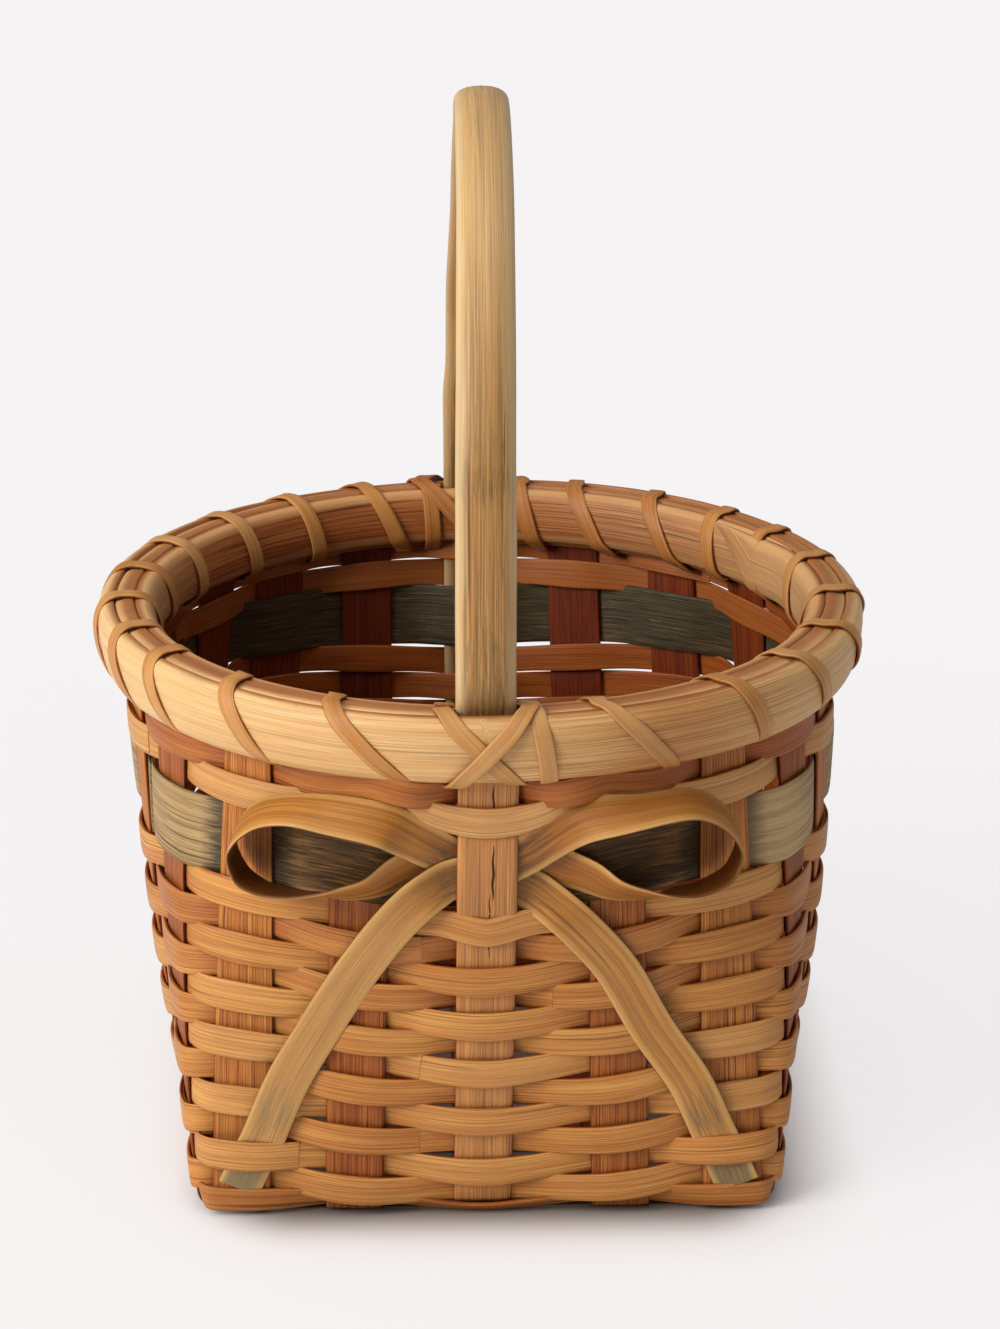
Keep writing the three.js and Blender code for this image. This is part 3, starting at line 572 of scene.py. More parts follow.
def palette():
    """The basket's materials, made once."""
    made = bpy.data.materials
    if "split reed, honey" in made:
        return made
    # Wide flat reed for the uprights: coarse, with dark lines half a millimetre apart; some are plum brown
    reed_material("split reed, russet upright", ("d48c3f", "be7433", "7c3e18", "4e240e"), line_mm=0.46,
                  streak=0.9, rough=0.55, bump=0.6, fleck=0.05, turned="c8a298", back="ab7652")
    # Painted shade for the depth of a crack, almost black
    reed_material("painted shade of a split, dark", ("4a2a14", "3a1e0e", "241208", "160a04"), line_mm=0.4,
                  streak=0.6, rough=0.8, bump=0.2)
    # Narrow flat reed for weaving: honey tan with a satin skin and fine brown lines
    reed_material("split reed, honey", ("d79c4f", "c7843f", "925224", "5a2c10"), line_mm=0.42,
                  streak=0.74, rough=0.44, bump=0.4, turned="c48a5e", back="cc9e7a")
    # Wide reed dyed dark green-black, worn through to grey-tan where it stands proud
    reed_material("dyed reed, worn green", ("c0a270", "a98a5a", "6f5836", "3a2f20"), line_mm=0.7,
                  streak=0.85, rough=0.55, bump=0.55, fleck=0.2, turned="f0bc80", back="e6e4d8",
                  dye=("2a281f", "685738", 0.9))
    # Half-round rattan for the rim: smooth and pale outside with long split lines
    reed_material("half-round reed, pale", ("e2b479", "d6a062", "9c6632", "5e3a1c"), line_mm=0.46,
                  streak=0.65, rough=0.42, bump=0.35, fleck=0.2)
    # The inner hoop is red-brown on its face, partly its own finish and partly painted shade, and paler along
    # its edges, partly wear and partly painted highlight
    reed_material("half-round reed, amber", ("c07c3e", "a65e2b", "783a18", "461f0d"), line_mm=0.6,
                  streak=0.9, rough=0.48, bump=0.5, fleck=0.15, worn="d2a068")
    # Narrow lashing strip: straw coloured, with little figure
    reed_material("lashing reed, straw", ("cb914e", "bb7c3e", "8e5a2a", "64391a"), line_mm=0.55,
                  streak=0.5, rough=0.44, bump=0.3, fleck=0.2)
    # Bent ash hoop, rubbed smooth: grey-tan with straight dark grain, stained where the rim meets it
    reed_material("bent ash, weathered", ("c79654", "b07c42", "6c4a24", "33240f"), line_mm=0.55,
                  streak=0.95, rough=0.4, bump=0.35, back="e8dccb", worn="d6ba8c",
                  dye=("40331f", "6f562e", 0.0))
    # Half-inch reed for the bow: golden brown with paler edges, its ends dipped in the dark dye
    reed_material("bow reed, golden brown", ("c4863b", "ae702b", "804e1e", "4e2c11"), line_mm=0.6,
                  streak=0.65, rough=0.42, bump=0.35, turned="c08a58", back="907862", worn="d0a05c",
                  dye=("3c3e2e", "6c5a34", 0.0))
    return made


# Pieces


class BasketSizes(bpy.types.PropertyGroup):
    stake_width: bpy.props.FloatProperty(
        name="Upright width", description="Width of the flat reed of the base and uprights",
        default=0.0166, unit="LENGTH")
    weaver_width: bpy.props.FloatProperty(
        name="Weaver width", description="Width of the flat reed woven round the wall",
        default=0.0094, unit="LENGTH")
    weaver_thickness: bpy.props.FloatProperty(
        name="Weaver thickness", description="Thickness of the weaving reed", default=0.0013, unit="LENGTH")
    accent_width: bpy.props.FloatProperty(
        name="Accent width", description="Width of the dyed row", default=0.0216, unit="LENGTH")
    lashing_width: bpy.props.FloatProperty(
        name="Lashing width", description="Width of the strip round the rim", default=0.0050, unit="LENGTH")
    bow_width: bpy.props.FloatProperty(
        name="Bow width", description="Width of the two strips of the bow", default=0.0127, unit="LENGTH")
    handle_width: bpy.props.FloatProperty(
        name="Handle width", description="Width of the bent hoop", default=0.0164, unit="LENGTH")


class BasketStage(bpy.types.PropertyGroup):
    floor_colour: bpy.props.FloatVectorProperty(
        name="Floor colour", description="Colour of the paper sweep", subtype="COLOR", size=4,
        default=linear("f5f3f4"), min=0, max=1)
    key_power: bpy.props.FloatProperty(
        name="Key power", description="Power of the main soft box", default=27.0, unit="POWER")
    fill_level: bpy.props.FloatProperty(
        name="Fill level", description="Strength of the light from all round", default=0.27, min=0)


def base_height(position, over_first):
    """Height of a base strip's middle as it goes over and under the strips that cross it."""
    order = np.interp(position, BASE_CROSSINGS, np.arange(len(BASE_CROSSINGS)))
    swing = np.cos(np.pi * order) * (1 if over_first else -1)
    middle = (LOW_LEVEL + HIGH_LEVEL) / 2
    return middle + swing * (HIGH_LEVEL - LOW_LEVEL) / 2


def stake_wall(column, level, bowed):
    """Path up one side of a stake, from the start of its bend to its top: points and facing."""
    facing = math.radians(90 * (column // PER_SIDE) - 90)
    normal = np.array([math.cos(facing), math.sin(facing), 0])
    foot, _, _ = column_frame(column, np.array([0.0]))
    foot = np.array([*foot[0], 0]) - normal * BEND_RADIUS
    angles = np.radians(np.linspace(-90, 0, BEND_POINTS + 1))[:-1]
    arc_faces = [normal * math.cos(a) + UP * math.sin(a) for a in angles]
    arc = [foot + UP * (level + BEND_RADIUS) + face * BEND_RADIUS for face in arc_faces]
    heights = np.linspace(level + BEND_RADIUS, UPRIGHT_TOP, 70)
    flat, _, outward = column_frame(column, heights)
    points = np.concatenate([flat, heights[:, None]], 1)
    lean = np.gradient(flat, heights, axis=0)
    faces = np.concatenate([outward, -(lean * outward).sum(1)[:, None]], 1)
    # Each row pushes the upright a little out or in as it passes behind or before it
    push = np.zeros(len(heights))
    angle = math.radians(RIM_ANGLES[column])
    for middle, lift, even, _, _ in ROWS.values():
        outside = (column % 2 == 0) == even
        climb = lift * corner_share(angle) + back_climb(middle) * behind(angle)
        push += (-ROW_PUSH if outside else ROW_PUSH) * hump(heights, middle + climb, ROW_REACH)
    if bowed:
        off_bow = (heights - ACCENT_ROW[0]) / POCKET_HALF
        push += POCKET_DEPTH * clamp(np.cos(off_bow * math.pi / 2)) ** 0.7 * (abs(off_bow) < 1)
    points = points + unit(faces) * push[:, None]
    return np.vstack([arc, points]), np.vstack([arc_faces, faces])


class BASKET_OT_stakes(bpy.types.Operator):
    """Weaves ten flat reeds into the base and bends them up as the wall's uprights"""
    bl_idname = "basket.stakes"
    bl_label = "Base and uprights"

    def execute(self, context):
        sizes = context.scene.basket_sizes
        rng = np.random.default_rng(11)
        for direction in ("front_back", "left_right"):
            lengthwise = direction == "front_back"
            for number in range(PER_SIDE):
                start, end = number, 3 * PER_SIDE - 1 - number
                if not lengthwise:
                    start, end = 4 * PER_SIDE - 1 - number, PER_SIDE + number
                over = (number % 2 == 0) == lengthwise
                level = HIGH_LEVEL if over else LOW_LEVEL
                bowed = start == BOW_COLUMN
                first, first_faces = stake_wall(start, level, bowed)
                last, last_faces = stake_wall(end, level, False)
                steps = np.linspace(0, 1, 62)[1:-1]
                middle = first[0] + (last[0] - first[0]) * steps[:, None]
                middle[:, 2] = base_height(middle[:, 1 if lengthwise else 0], over)
                down = np.tile(-UP, (len(middle), 1))
                path = np.vstack([first[::-1], middle, last])
                faces = np.vstack([first_faces[::-1], down, last_faces])
                width = sizes.stake_width * 1000 * (1 + 0.015 * np.sin(np.linspace(0, 9, len(path)) + number))
                tone = UPRIGHT_TONES[number] if lengthwise else rng.uniform(-0.1, 0.75)
                name = f"stake_{direction}_{number + 1}"
                piece = sweep(name + "_reed", path, faces, width, STAKE_THICK,
                              palette()["split reed, russet upright"], "flat", 20 + number,
                              tone=tone + 0.04 * rng.standard_normal())
                settle(piece, "stake_reed", name)
                if bowed:
                    self.splits(first[BEND_POINTS + 1:], first_faces[BEND_POINTS + 1:])
        return {"FINISHED"}

    def splits(self, path, faces):
        """Narrow cracks in the face of the upright that carries the bow, drawn as thin dark strips of painted
        shade.
        """
        for order, (low, high, across, wide) in enumerate(SPLITS):
            heights = np.linspace(low, high, 16)
            points = np.column_stack([np.interp(heights, path[:, 2], path[:, k]) for k in range(3)])
            outward = unit(np.column_stack([np.interp(heights, path[:, 2], faces[:, k]) for k in range(3)]))
            points += outward * (STAKE_THICK / 2 - 0.02)
            points[:, 0] += across + 0.15 * np.sin(heights * 0.9 + order)
            width = wide * np.sin(np.linspace(0.06, math.pi - 0.06, 16)) ** 0.6
            piece = sweep(f"upright_split_{order + 1}", points, outward, width, 0.12,
                          palette()["painted shade of a split, dark"], "flat", 60 + order)
            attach(piece, "root")


def row_path(row, rng, start, overlap, dip, reach, tucking=False):
    """Path of a row woven round the wall: turns, points, facing, distance out and how far outside it is."""
    middle, lift, even = row
    turns = start + np.linspace(0, COLUMNS + overlap, int((COLUMNS + overlap) * POINTS_PER_COLUMN) + 1)
    angle = column_angle(turns)
    swing = np.cos(np.pi * turns) * (1 if even else -1)
    waves = rng.uniform(0, 2 * math.pi, 4)
    amounts = rng.normal(0, 0.22, 4)
    wander = sum(a * np.sin(k * angle + w) for k, (a, w) in enumerate(zip(amounts, waves), start=2))
    height = middle + lift * corner_share(angle) + wander * min(lift / 4, 1) + dip * (1 - swing)
    height += back_climb(middle) * behind(angle)
    point, face = wall(turns, height)
    offset = reach * swing
    for column in HANDLE_COLUMNS:
        near = uprights_off(turns, column)
        offset -= clamp(-swing) * clamp(1.15 - near) ** 0.5 * (near < 0.5) * tail_thickness(height)
    if tucking:
        # The bow's tails lie under this row at the first and last upright of the front
        for column in (0, PER_SIDE - 1):
            offset += 1.5 * clamp(1.2 - uprights_off(turns, column) / 0.45) ** 0.7
    return turns, point, face, offset, swing


def lap_shares(turns, overlap):
    """How far on each place is, and its share of the lap that lies under and of the one that lies over."""
    passed = turns - turns[0]
    return passed, clamp((overlap + 0.2 - passed) / 0.4), clamp((passed - COLUMNS + 0.2) / 0.4)


class BASKET_OT_weavers(bpy.types.Operator):
    """Weaves the plain rows and the dyed row round the wall, each a strip whose ends overlap"""
    bl_idname = "basket.weavers"
    bl_label = "Woven rows"

    def execute(self, context):
        sizes = context.scene.basket_sizes
        thickness = sizes.weaver_thickness * 1000
        honey = palette()["split reed, honey"]
        rng = np.random.default_rng(5)
        overlap, apart, thinner = WEAVER_LAP
        for number, (*row, tone, start) in ROWS.items():
            name = f"weaver_{number:02d}"
            turns, point, face, offset, swing = row_path(
                row, rng, start, overlap, dip=0.55, reach=1.95, tucking=number == TUCKING_ROW)
            passed, early, late = lap_shares(turns, overlap)
            across_back = behind(column_angle(turns))
            tips = clamp(np.minimum(passed, passed[-1] - passed) / 0.35 - 0.25) + 0.25
            thick = thickness * (1 - thinner * np.maximum(early, late)) * np.minimum(tips, 1)
            width = sizes.weaver_width * 1000 * (1 - 0.075 * (1 - swing ** 2)) * (1 + rng.normal(0, 0.012))
            width = width * (1 - 0.04 * late) * (1 - 0.05 * across_back)
            path = point + face * (offset + apart * late - apart * early)[:, None]
            path[:, 2] += 0.5 * late - 0.2 * early
            for way, most, middle, spread in BESIDE_BOW.get(number, ()):
                amount = most * hump(uprights_off(turns, BOW_COLUMN), middle, spread)
                if way == "out":
                    path += face * amount[:, None]
                elif way == "up":
                    path[:, 2] += amount
                else:
                    width = width * (1 - amount)
            # Rows are painted darker where they pass inside, behind the uprights: painted shade
            tone = tone + 0.1 * np.sin(turns * 0.7 + number) + 0.2 * clamp(0.3 - swing)
            tone = tone * (1 - across_back) - (0.55 if number > 13 else 0.0) * across_back
            piece = sweep(name + "_reed", path, face, width, thick, honey, "flat", number, tone=tone)
            settle(piece, "weaver_reed", name)
        self.foot_row(thickness * 0.9, honey)
        self.dyed_row(thickness, sizes.accent_width * 1000)
        return {"FINISHED"}

    def foot_row(self, thickness, honey):
        """The lowest row rounds the edge of the base, facing down and out, and upright at the corners."""
        rng = np.random.default_rng(17)
        turns = 8.5 + np.linspace(0, COLUMNS, COLUMNS * POINTS_PER_COLUMN + 1)[:-1]
        swing = np.cos(np.pi * turns)
        point, face = wall(turns, WALL_FOOT)
        level_face = unit(face * (1, 1, 0))
        corner = corner_share(column_angle(turns))
        slant = np.radians(-47 + 35 * corner)
        facing = level_face * np.cos(slant)[:, None] + np.sin(slant)[:, None] * UP
        path = point - level_face * BEND_RADIUS + facing * (BEND_RADIUS + 1.3 * swing)[:, None]
        path[:, 2] += 0.5 + 0.25 * (1 - swing) + 0.8 * corner
        piece = sweep("weaver_01_reed", path, facing, 5.2 + 3.2 * corner, thickness, honey, "flat", 1,
                      closed=True, tone=0.3 + rng.uniform(-0.1, 0.1))
        settle(piece, "weaver_reed", "weaver_01")

    def dyed_row(self, thickness, width):
        """The wide accent row, pushed in where the bow crosses it."""
        overlap, apart, thinner = ACCENT_LAP
        turns, point, face, offset, swing = row_path(
            ACCENT_ROW, np.random.default_rng(23), ACCENT_START, overlap, dip=0.2, reach=2.0)
        _, early, late = lap_shares(turns, overlap)
        near = uprights_off(turns, BOW_COLUMN)
        offset += apart * late - apart * early - 2.4 * clamp(1 - np.abs(near - 0.45) / 0.4)
        path = point + face * offset[:, None]
        path[:, 2] += 1.9 * hump(near, 1.15, 0.4) - 2.6 * hump(near, 0, 0.55)
        # Dye has worn off where the row stands proud, and stays beside the uprights, at the bow and inside
        rubbed = clamp((swing + 0.6) / 0.6)
        front = hump(near, 1.0, 0.75)
        shade = clamp(0.92 - 0.8 * rubbed + 0.7 * front * rubbed)
        # Its tone is painted paler near the front right corner, where the row lies in shade: painted light
        tone = 0.1 + 0.8 * front - 0.9 * hump(turns % COLUMNS, 4.7, 0.5)
        piece = sweep("accent_weaver_reed", path, face, width * (1 - 0.11 * behind(column_angle(turns))),
                      thickness * (1 - thinner * np.maximum(early, late)), palette()["dyed reed, worn green"],
                      "flat", 40, tone=tone, stain=shade)
        settle(piece, "accent_reed", "accent_weaver")


def ring(angles, outward, height):
    """Points and facing on a hoop round the rim, at a distance out from the uprights' middle surface."""
    radial = np.stack([np.sin(angles), -np.cos(angles), np.zeros_like(angles)], 1)
    radius = RIM_RADIUS + (height - RIM_BOTTOM) * WALL_SLOPE + outward
    point = radial * np.broadcast_to(radius, len(radial))[:, None]
    point[:, 2] = height
    return point, unit(radial - WALL_SLOPE * UP)


class BASKET_OT_rims(bpy.types.Operator):
    """Bends the outer and inner hoops of the rim and the filler strips between them"""
    bl_idname = "basket.rims"
    bl_label = "Rim hoops"

    def execute(self, context):
        pale = palette()["half-round reed, pale"]
        middle = (RIM_BOTTOM + RIM_TOP) / 2
        height = RIM_TOP - RIM_BOTTOM
        # Outer hoop, its flat side against the uprights
        around = np.radians(np.linspace(0, 360, 361)[:-1])
        wave = 0.25 * np.sin(3 * around + 1) + 0.2 * np.sin(5 * around)
        point, face = ring(around, OUTER_PLACE + OUTER_THICK * (1 - DOME_SHARE), middle + wave)
        # Its tone is painted darker round the right side and the front right, and paler at the front left and
        # at the left and right ends: painted shade and painted light
        tone = -0.15 + 0.3 * np.sin(around - 0.6) + 0.7 * hump(around, 0.5, 0.26) - np.sin(around) ** 4
        piece = sweep("outer_rim_reed", point, face, height, OUTER_THICK, pale, "domed", 3,
                      closed=True, tone=tone)
        settle(piece, "rim_reed", "outer_rim")
        # Inner hoop, lower than the outer: its ends overlap at the back right, the upper one cut to a slant
        passed = np.linspace(0, 360 + SCARF, 460)
        left = passed[-1] - passed
        around = np.radians(INNER_START + passed)
        thick = INNER_THICK * np.clip(np.minimum(passed / SCARF, clamp(left / SCARF) * 1.6), 0.2, 1)
        over = clamp((passed - 360) / SCARF)
        outward = INNER_PLACE - (1 - DOME_SHARE) * thick - INNER_THICK * DOME_SHARE * over
        tall = INNER_HEIGHT * np.maximum(clamp(left / 12), 0.04)
        point, face = ring(around, outward, RIM_TOP - 0.2 - tall / 2)
        amber = palette()["half-round reed, amber"]
        # Its tone is painted paler at the left and right ends: painted light, as on the outer hoop
        piece = sweep("inner_rim_reed", point, -face, tall, thick, amber, "domed", 5,
                      tone=0.1 + 0.3 * np.sin(around * 2) - 0.9 * np.sin(around) ** 6)
        settle(piece, "rim_reed", "inner_rim")
        # Filler strips stop beside the handle's legs
        for name, start in (("right", 0), ("left", 180)):
            around = np.radians(np.linspace(start + 5.9, start + 174.1, 180))
            point, face = ring(around, FILLER_PLACE, middle + 0.35)
            piece = sweep(f"rim_filler_{name}_reed", point, face, height - 0.7, FILLER_THICK, pale,
                          "filler", 7, tone=-0.5)
            settle(piece, "rim_reed", f"rim_filler_{name}")
        return {"FINISHED"}


# Lashing wraps as degrees round the rim of each strand's top and bottom; one that is raised lies over
# the strand before it, to make the cross on the handle
WRAPS = (
    (-6.4, 4.6, 0), (5.8, -5.4, 1), (6.9, 9.0, 0), (17.5, 28.6, 0), (39.0, 46.2, 0), (54.6, 63.0, 0),
    (70.5, 80.0, 0), (88.0, 97.5, 0), (105.5, 114.0, 0), (120.0, 128.4, 0), (132.8, 137.4, 0),
    (147.6, 153.2, 0), (162.2, 167.4, 0),
    (172.2, 187.6, 0), (188.4, 175.6, 1), (189.4, 192.4, 0), (199.6, 209.8, 0), (213.6, 224.8, 0),
    (228.4, 241.4, 0), (244.0, 254.0, 0), (258.0, 268.5, 0), (273.0, 282.5, 0), (288.0, 295.5, 0),
    (301.4, 307.6, 0), (318.8, 326.4, 0), (336.6, 348.4, 0),
)

# One round of the lashing's path: outward distance, height, facing in degrees from outward up, and how much
# of the way from its top to its bottom, or on to the next top, it has gone
OVER_TOP = (
    (-1.5, 160.2, 92, -0.05), (2.2, 160.1, 84, 0.03), (4.6, 158.6, 52, 0.12), (6.4, 156.2, 28, 0.24),
    (7.5, 152.6, 8, 0.42), (7.5, 148.0, -6, 0.62), (6.5, 144.3, -28, 0.8), (4.6, 141.6, -56, 0.93),
    (2.0, 140.2, -84, 1.0),
)
UNDER_INSIDE = (
    (-3.2, 140.9, -96, 0.06), (-6.6, 143.2, -124, 0.16), (-8.9, 145.4, -152, 0.3), (-9.9, 149.2, -174, 0.45),
    (-9.9, 153.0, -188, 0.6), (-8.9, 156.8, -208, 0.76), (-7.0, 159.3, -232, 0.88), (-4.6, 160.2, -256, 0.96),
)
# How far the strip's middle lies off the hoops, and how much more where it crosses over itself
LASHING_LIFT = 0.6
CROSSING_LIFT = 1.05


class BASKET_OT_lashing(bpy.types.Operator):
    """Winds one narrow strip round the rim and crosses it over both ends of the handle"""
    bl_idname = "basket.lashing"
    bl_label = "Rim lashing"

    def execute(self, context):
        rows = []
        for index, (top, bottom, raised) in enumerate(WRAPS):
            following = WRAPS[(index + 1) % len(WRAPS)][0] + (360 if index == len(WRAPS) - 1 else 0)
            for step, (out, height, facing, share) in enumerate(OVER_TOP):
                high = CROSSING_LIFT * raised * (1 if 1 < step < 8 else 0.5)
                rows.append((top + (bottom - top) * share, out, height, facing, high))
            for out, height, facing, share in UNDER_INSIDE:
                rows.append((bottom + (following - bottom) * share, out, height, facing, 0.35 * raised))
        points = []
        for degrees, out, height, facing, high in rows:
            around = math.radians(degrees)
            radial = np.array([math.sin(around), -math.cos(around), 0])
            tilt = math.radians(facing)
            normal = radial * math.cos(tilt) + UP * math.sin(tilt)
            place = radial * (RIM_RADIUS + (height - RIM_BOTTOM) * WALL_SLOPE + out) + UP * height
            points.append([*(place + normal * (LASHING_LIFT + high)), *normal])
        fine = smooth_path(points, 1.5)
        waves = np.cumsum(np.random.default_rng(3).normal(0, 0.03, len(fine)))
        waves -= np.linspace(waves[0], waves[-1], len(fine))
        width = context.scene.basket_sizes.lashing_width * 1000
        piece = sweep("rim_lashing_reed", fine[:, :3], fine[:, 3:6], width, LASHING_THICK,
                      palette()["lashing reed, straw"], "flat", 9, tone=-0.1 + waves)
        settle(piece, "lashing_reed", "rim_lashing")
        return {"FINISHED"}


class BASKET_OT_handle(bpy.types.Operator):
    """Bends the hoop handle, whose thin tails run down inside the front and back of the wall"""
    bl_idname = "basket.handle"
    bl_label = "Hoop handle"

    def execute(self, context):
        width = context.scene.basket_sizes.handle_width * 1000
        # Front leg from its tail up: depth, height, facing in depth and height, width, thickness
        leg = []
        for height in (TAIL_FOOT, 65.0, 80.0, 100.0, 120.0, RIM_BOTTOM, 152.0, 158.5):
            point, _, outward = column_frame(BOW_COLUMN, np.array([height]))
            thick = float(tail_thickness(height))
            depth = point[0][1] - outward[0][1] * (1.05 + thick / 2)
            wide = width * (0.9 if height < 100 else 1.0)
            leg.append((depth, height, outward[0][1], -WALL_SLOPE, wide, thick))
        radius = 0.6 - leg[-1][0]
        centre = HANDLE_TOP - HANDLE_THICK / 2 - radius
        leg.append((-radius, RIM_TOP + 6, -1, 0, width, HANDLE_THICK * 0.93))
        for height in (178.0, 190.0):
            leg.append((-radius, height, -1, 0, width, HANDLE_THICK))
        arch = []
        for turn in np.radians(np.linspace(0, 180, 25)):
            across, up = -math.cos(turn), math.sin(turn)
            wide = width * (1 - 0.05 * up)
            arch.append((across * radius, centre + up * radius, across, up, wide, HANDLE_THICK))
        back = [(-y, z, -ny, nz, w, t) for y, z, ny, nz, w, t in reversed(leg)]
        rows = np.array(leg + arch + back)
        # The hoop isn't quite true: it leans a little to one side and back again along its arch
        place = np.degrees(np.arctan2(rows[:, 1] - centre, -rows[:, 0]))
        lean = np.interp(place, (15, 60, 105, 120, 150, 165, 180), (-0.45, 0.5, 0.9, 1.2, 0.75, -0.3, -0.48))
        below = rows[:, 1] < centre
        lean[below] = np.where(rows[below, 0] < 0, -0.5, -1.2)
        fine = smooth_path(np.column_stack([lean, rows[:, :2], 0 * lean, rows[:, 2:]]), 2.2)
        height, front = fine[:, 2], fine[:, 1] < 0
        # Stained at the rim, and round a knot in the front leg; rubbed paler towards the top
        foot = 0.62 * clamp(1 - (height - 150) / 60) + 0.3 * hump(height, 232, 17) * front
        knot = 0.42 * hump(height, 223, 9) * front
        piece = sweep("handle_wood", fine[:, :3], fine[:, 3:6], fine[:, 6], fine[:, 7],
                      palette()["bent ash, weathered"], "handle", 12,
                      tone=-0.1 - 0.6 * clamp((height - 225) / 60), stain=np.maximum(foot, knot))
        settle(piece, "handle_wood", "handle")
        return {"FINISHED"}


def front_frame(across, height):
    """Point of the front wall and its outward normal, by distance across from the middle."""
    share = min(max((height - WALL_FOOT) / (RIM_BOTTOM - WALL_FOOT), 0), 1)
    turn = math.asin(max(-1, min(1, across / (BASE_SPREAD * (1 - share) + RIM_RADIUS * share))))
    depth = BASE_HALF * (1 - share) + RIM_RADIUS * math.cos(turn) * share
    angle = share * turn - math.pi / 2
    lean = (RIM_RADIUS - BASE_HALF) / (RIM_BOTTOM - WALL_FOOT)
    return np.array([across, -depth, height]), unit(np.array([math.cos(angle), math.sin(angle), -lean]))


# Bow strips for the right loop, whose tail runs to the left: across, height, outward, turn in degrees.
# A strip at turn 90 stands on its edge against the wall. Most of each lies on the woven rows, 3.3 mm out.
RIGHT_LOOP = (
    (-70.3, 10.0, 2.1, 0), (-68.6, 13.4, 1.8, 0), (-65.2, 21.0, 1.9, 0), (-62.3, 27.5, 2.6, 0),
    (-60.2, 33.0, 3.3, 0), (-55.2, 45, 3.3, 0), (-46.4, 61.3, 3.3, 0), (-35.2, 80.9, 3.3, 0),
    (-25.5, 96, 4.5, 0), (-18.5, 104.4, 4.5, 0), (-14.0, 107.6, 2.6, 0), (-10.5, 109.2, 0.9, 0),
    (0, 112.2, 0.9, 0), (10.5, 117.6, 0.9, 4), (14.2, 120.9, 1.5, 8), (21.9, 127.3, 2.4, 22),
    (27.3, 130.3, 3.0, 38), (39.3, 132.0, 3.5, 70), (54.2, 131.2, 3.3, 81), (63.1, 124.7, 3.3, 84),
    (67.1, 115.9, 3.3, 88), (64.5, 108.8, 3.3, 82), (58.1, 105.8, 3.3, 76), (50.2, 105.4, 3.3, 70),
    (42.8, 105.5, 3.3, 51), (33.9, 107.4, 3.0, 35), (27.5, 110.4, 1.7, 18), (20.0, 112.8, 0.0, 6),
    (12.5, 116.4, -1.2, 0),
)
LEFT_LOOP = (
    (-71.2, 9.4, 2.1, 0), (-69.6, 13.0, 1.8, 0), (-66.2, 21.0, 1.9, 0), (-62.9, 28.5, 2.6, 0),
    (-60.6, 34.0, 3.3, 0), (-56.0, 44, 3.3, 0), (-45.4, 61.0, 3.3, 0), (-34.6, 81.6, 3.3, 0),
    (-26.0, 93, 3.3, 0), (-20.0, 99.6, 3.3, 0), (-15.0, 103.6, 1.2, 0), (-11.0, 106.2, -0.3, 0),
    (0, 110.6, -0.3, 0), (10.5, 116.0, -0.3, 2), (14.4, 119.4, 1.6, 4), (20.7, 124.2, 3.1, 12),
    (26.5, 128.6, 3.3, 38), (40.9, 131.3, 3.3, 59), (51.8, 131.3, 3.3, 79), (61.4, 127.1, 3.3, 85),
    (67.6, 117.4, 3.3, 93), (65.2, 109.4, 3.3, 90), (60.8, 106.6, 3.3, 79), (53.1, 105.7, 3.3, 69),
    (44.7, 106.7, 3.3, 60), (38.5, 107.0, 3.1, 45), (31.7, 108.4, 2.4, 36), (23.5, 112.0, 0.9, 14),
    (15.0, 115.0, -1.2, 4),
)


class BASKET_OT_bow(bpy.types.Operator):
    """Shapes the two strips of the bow, each a loop on one side and a tail on the other"""
    bl_idname = "basket.bow"
    bl_label = "Bow"

    def execute(self, context):
        width = context.scene.basket_sizes.bow_width * 1000
        for name, stations, side, seed, pale in (
            ("bow_strip_outer", RIGHT_LOOP, 1, 31, 0.5), ("bow_strip_inner", LEFT_LOOP, -1, 37, 0.25),
        ):
            table = np.array(stations, float)
            flat = smooth_path(np.column_stack([table[:, :2], 0 * table[:, 0], table[:, 2:]]), 1.3)
            across, height, outward, turn = flat[:, 0], flat[:, 1], flat[:, 3:4], np.radians(flat[:, 4:])
            frames = [front_frame(a * side, h) for a, h in zip(across, height)]
            point, out = (np.array(part) for part in zip(*frames))
            normal = unit(out * (0.15, 1, 1))
            beside = np.cross(normal, unit(np.gradient(point, axis=0))) * side
            path = point + out * outward + normal * np.sin(turn) * width / 2
            face = normal * np.cos(turn) + beside * np.sin(turn)
            length = np.concatenate([[0], np.cumsum(np.linalg.norm(np.diff(path, axis=0), axis=1))])
            # Dye on the tail's end, a smudge above it, and streaks where the strips cross
            end = clamp(1 - (length - 11) / 6) * (0.6 + 0.8 * pale)
            heart = hump(across, 0, 19)
            stain = clamp(end + 0.66 * heart + 0.45 * hump(length, 27, 10))
            tail = clamp((-8 - across) / 20)
            loop = clamp(across / 15)
            tone = 0.1 * np.sin(length / 40) - pale * tail + 0.33 * heart + 0.6 * pale * loop
            piece = sweep(name + "_reed", path, face, width, BOW_THICK, palette()["bow reed, golden brown"],
                          "flat", seed, tone=tone, stain=stain)
            settle(piece, "bow_reed", name)
        return {"FINISHED"}


# Stage, in metres: the camera's place, direction and lens, the soft boxes and the floor
CAMERA_PLACE = (-0.02296, -1.15964, 0.55278)
CAMERA_DIRECTION = (0.02331, 0.94092, -0.33783)
CAMERA_LENS_MM = 114.23
SENSOR_MM = 36.0
LIGHT_AIM = (0, 0, 0.12)
# Place, size and share of the key's power: the main one high at the front left, a weaker one overhead
SOFT_BOXES = {"key_softbox": ((-1.25, -0.85, 0.95), 0.9, 1.0), "top_softbox": ((-0.1, -0.2, 1.7), 1.4, 0.42)}
FLOOR_HALF = 4.0
# The shadow under the base: a square with round corners, a little to the right and narrower than deep
SHADOW_SHIFT = (0.003, 0.0, 0.0)
SHADOW_SCALE = (1.12, 1.0, 1.0)
SHADOW_HALF = (0.062, 0.062, 0.0)


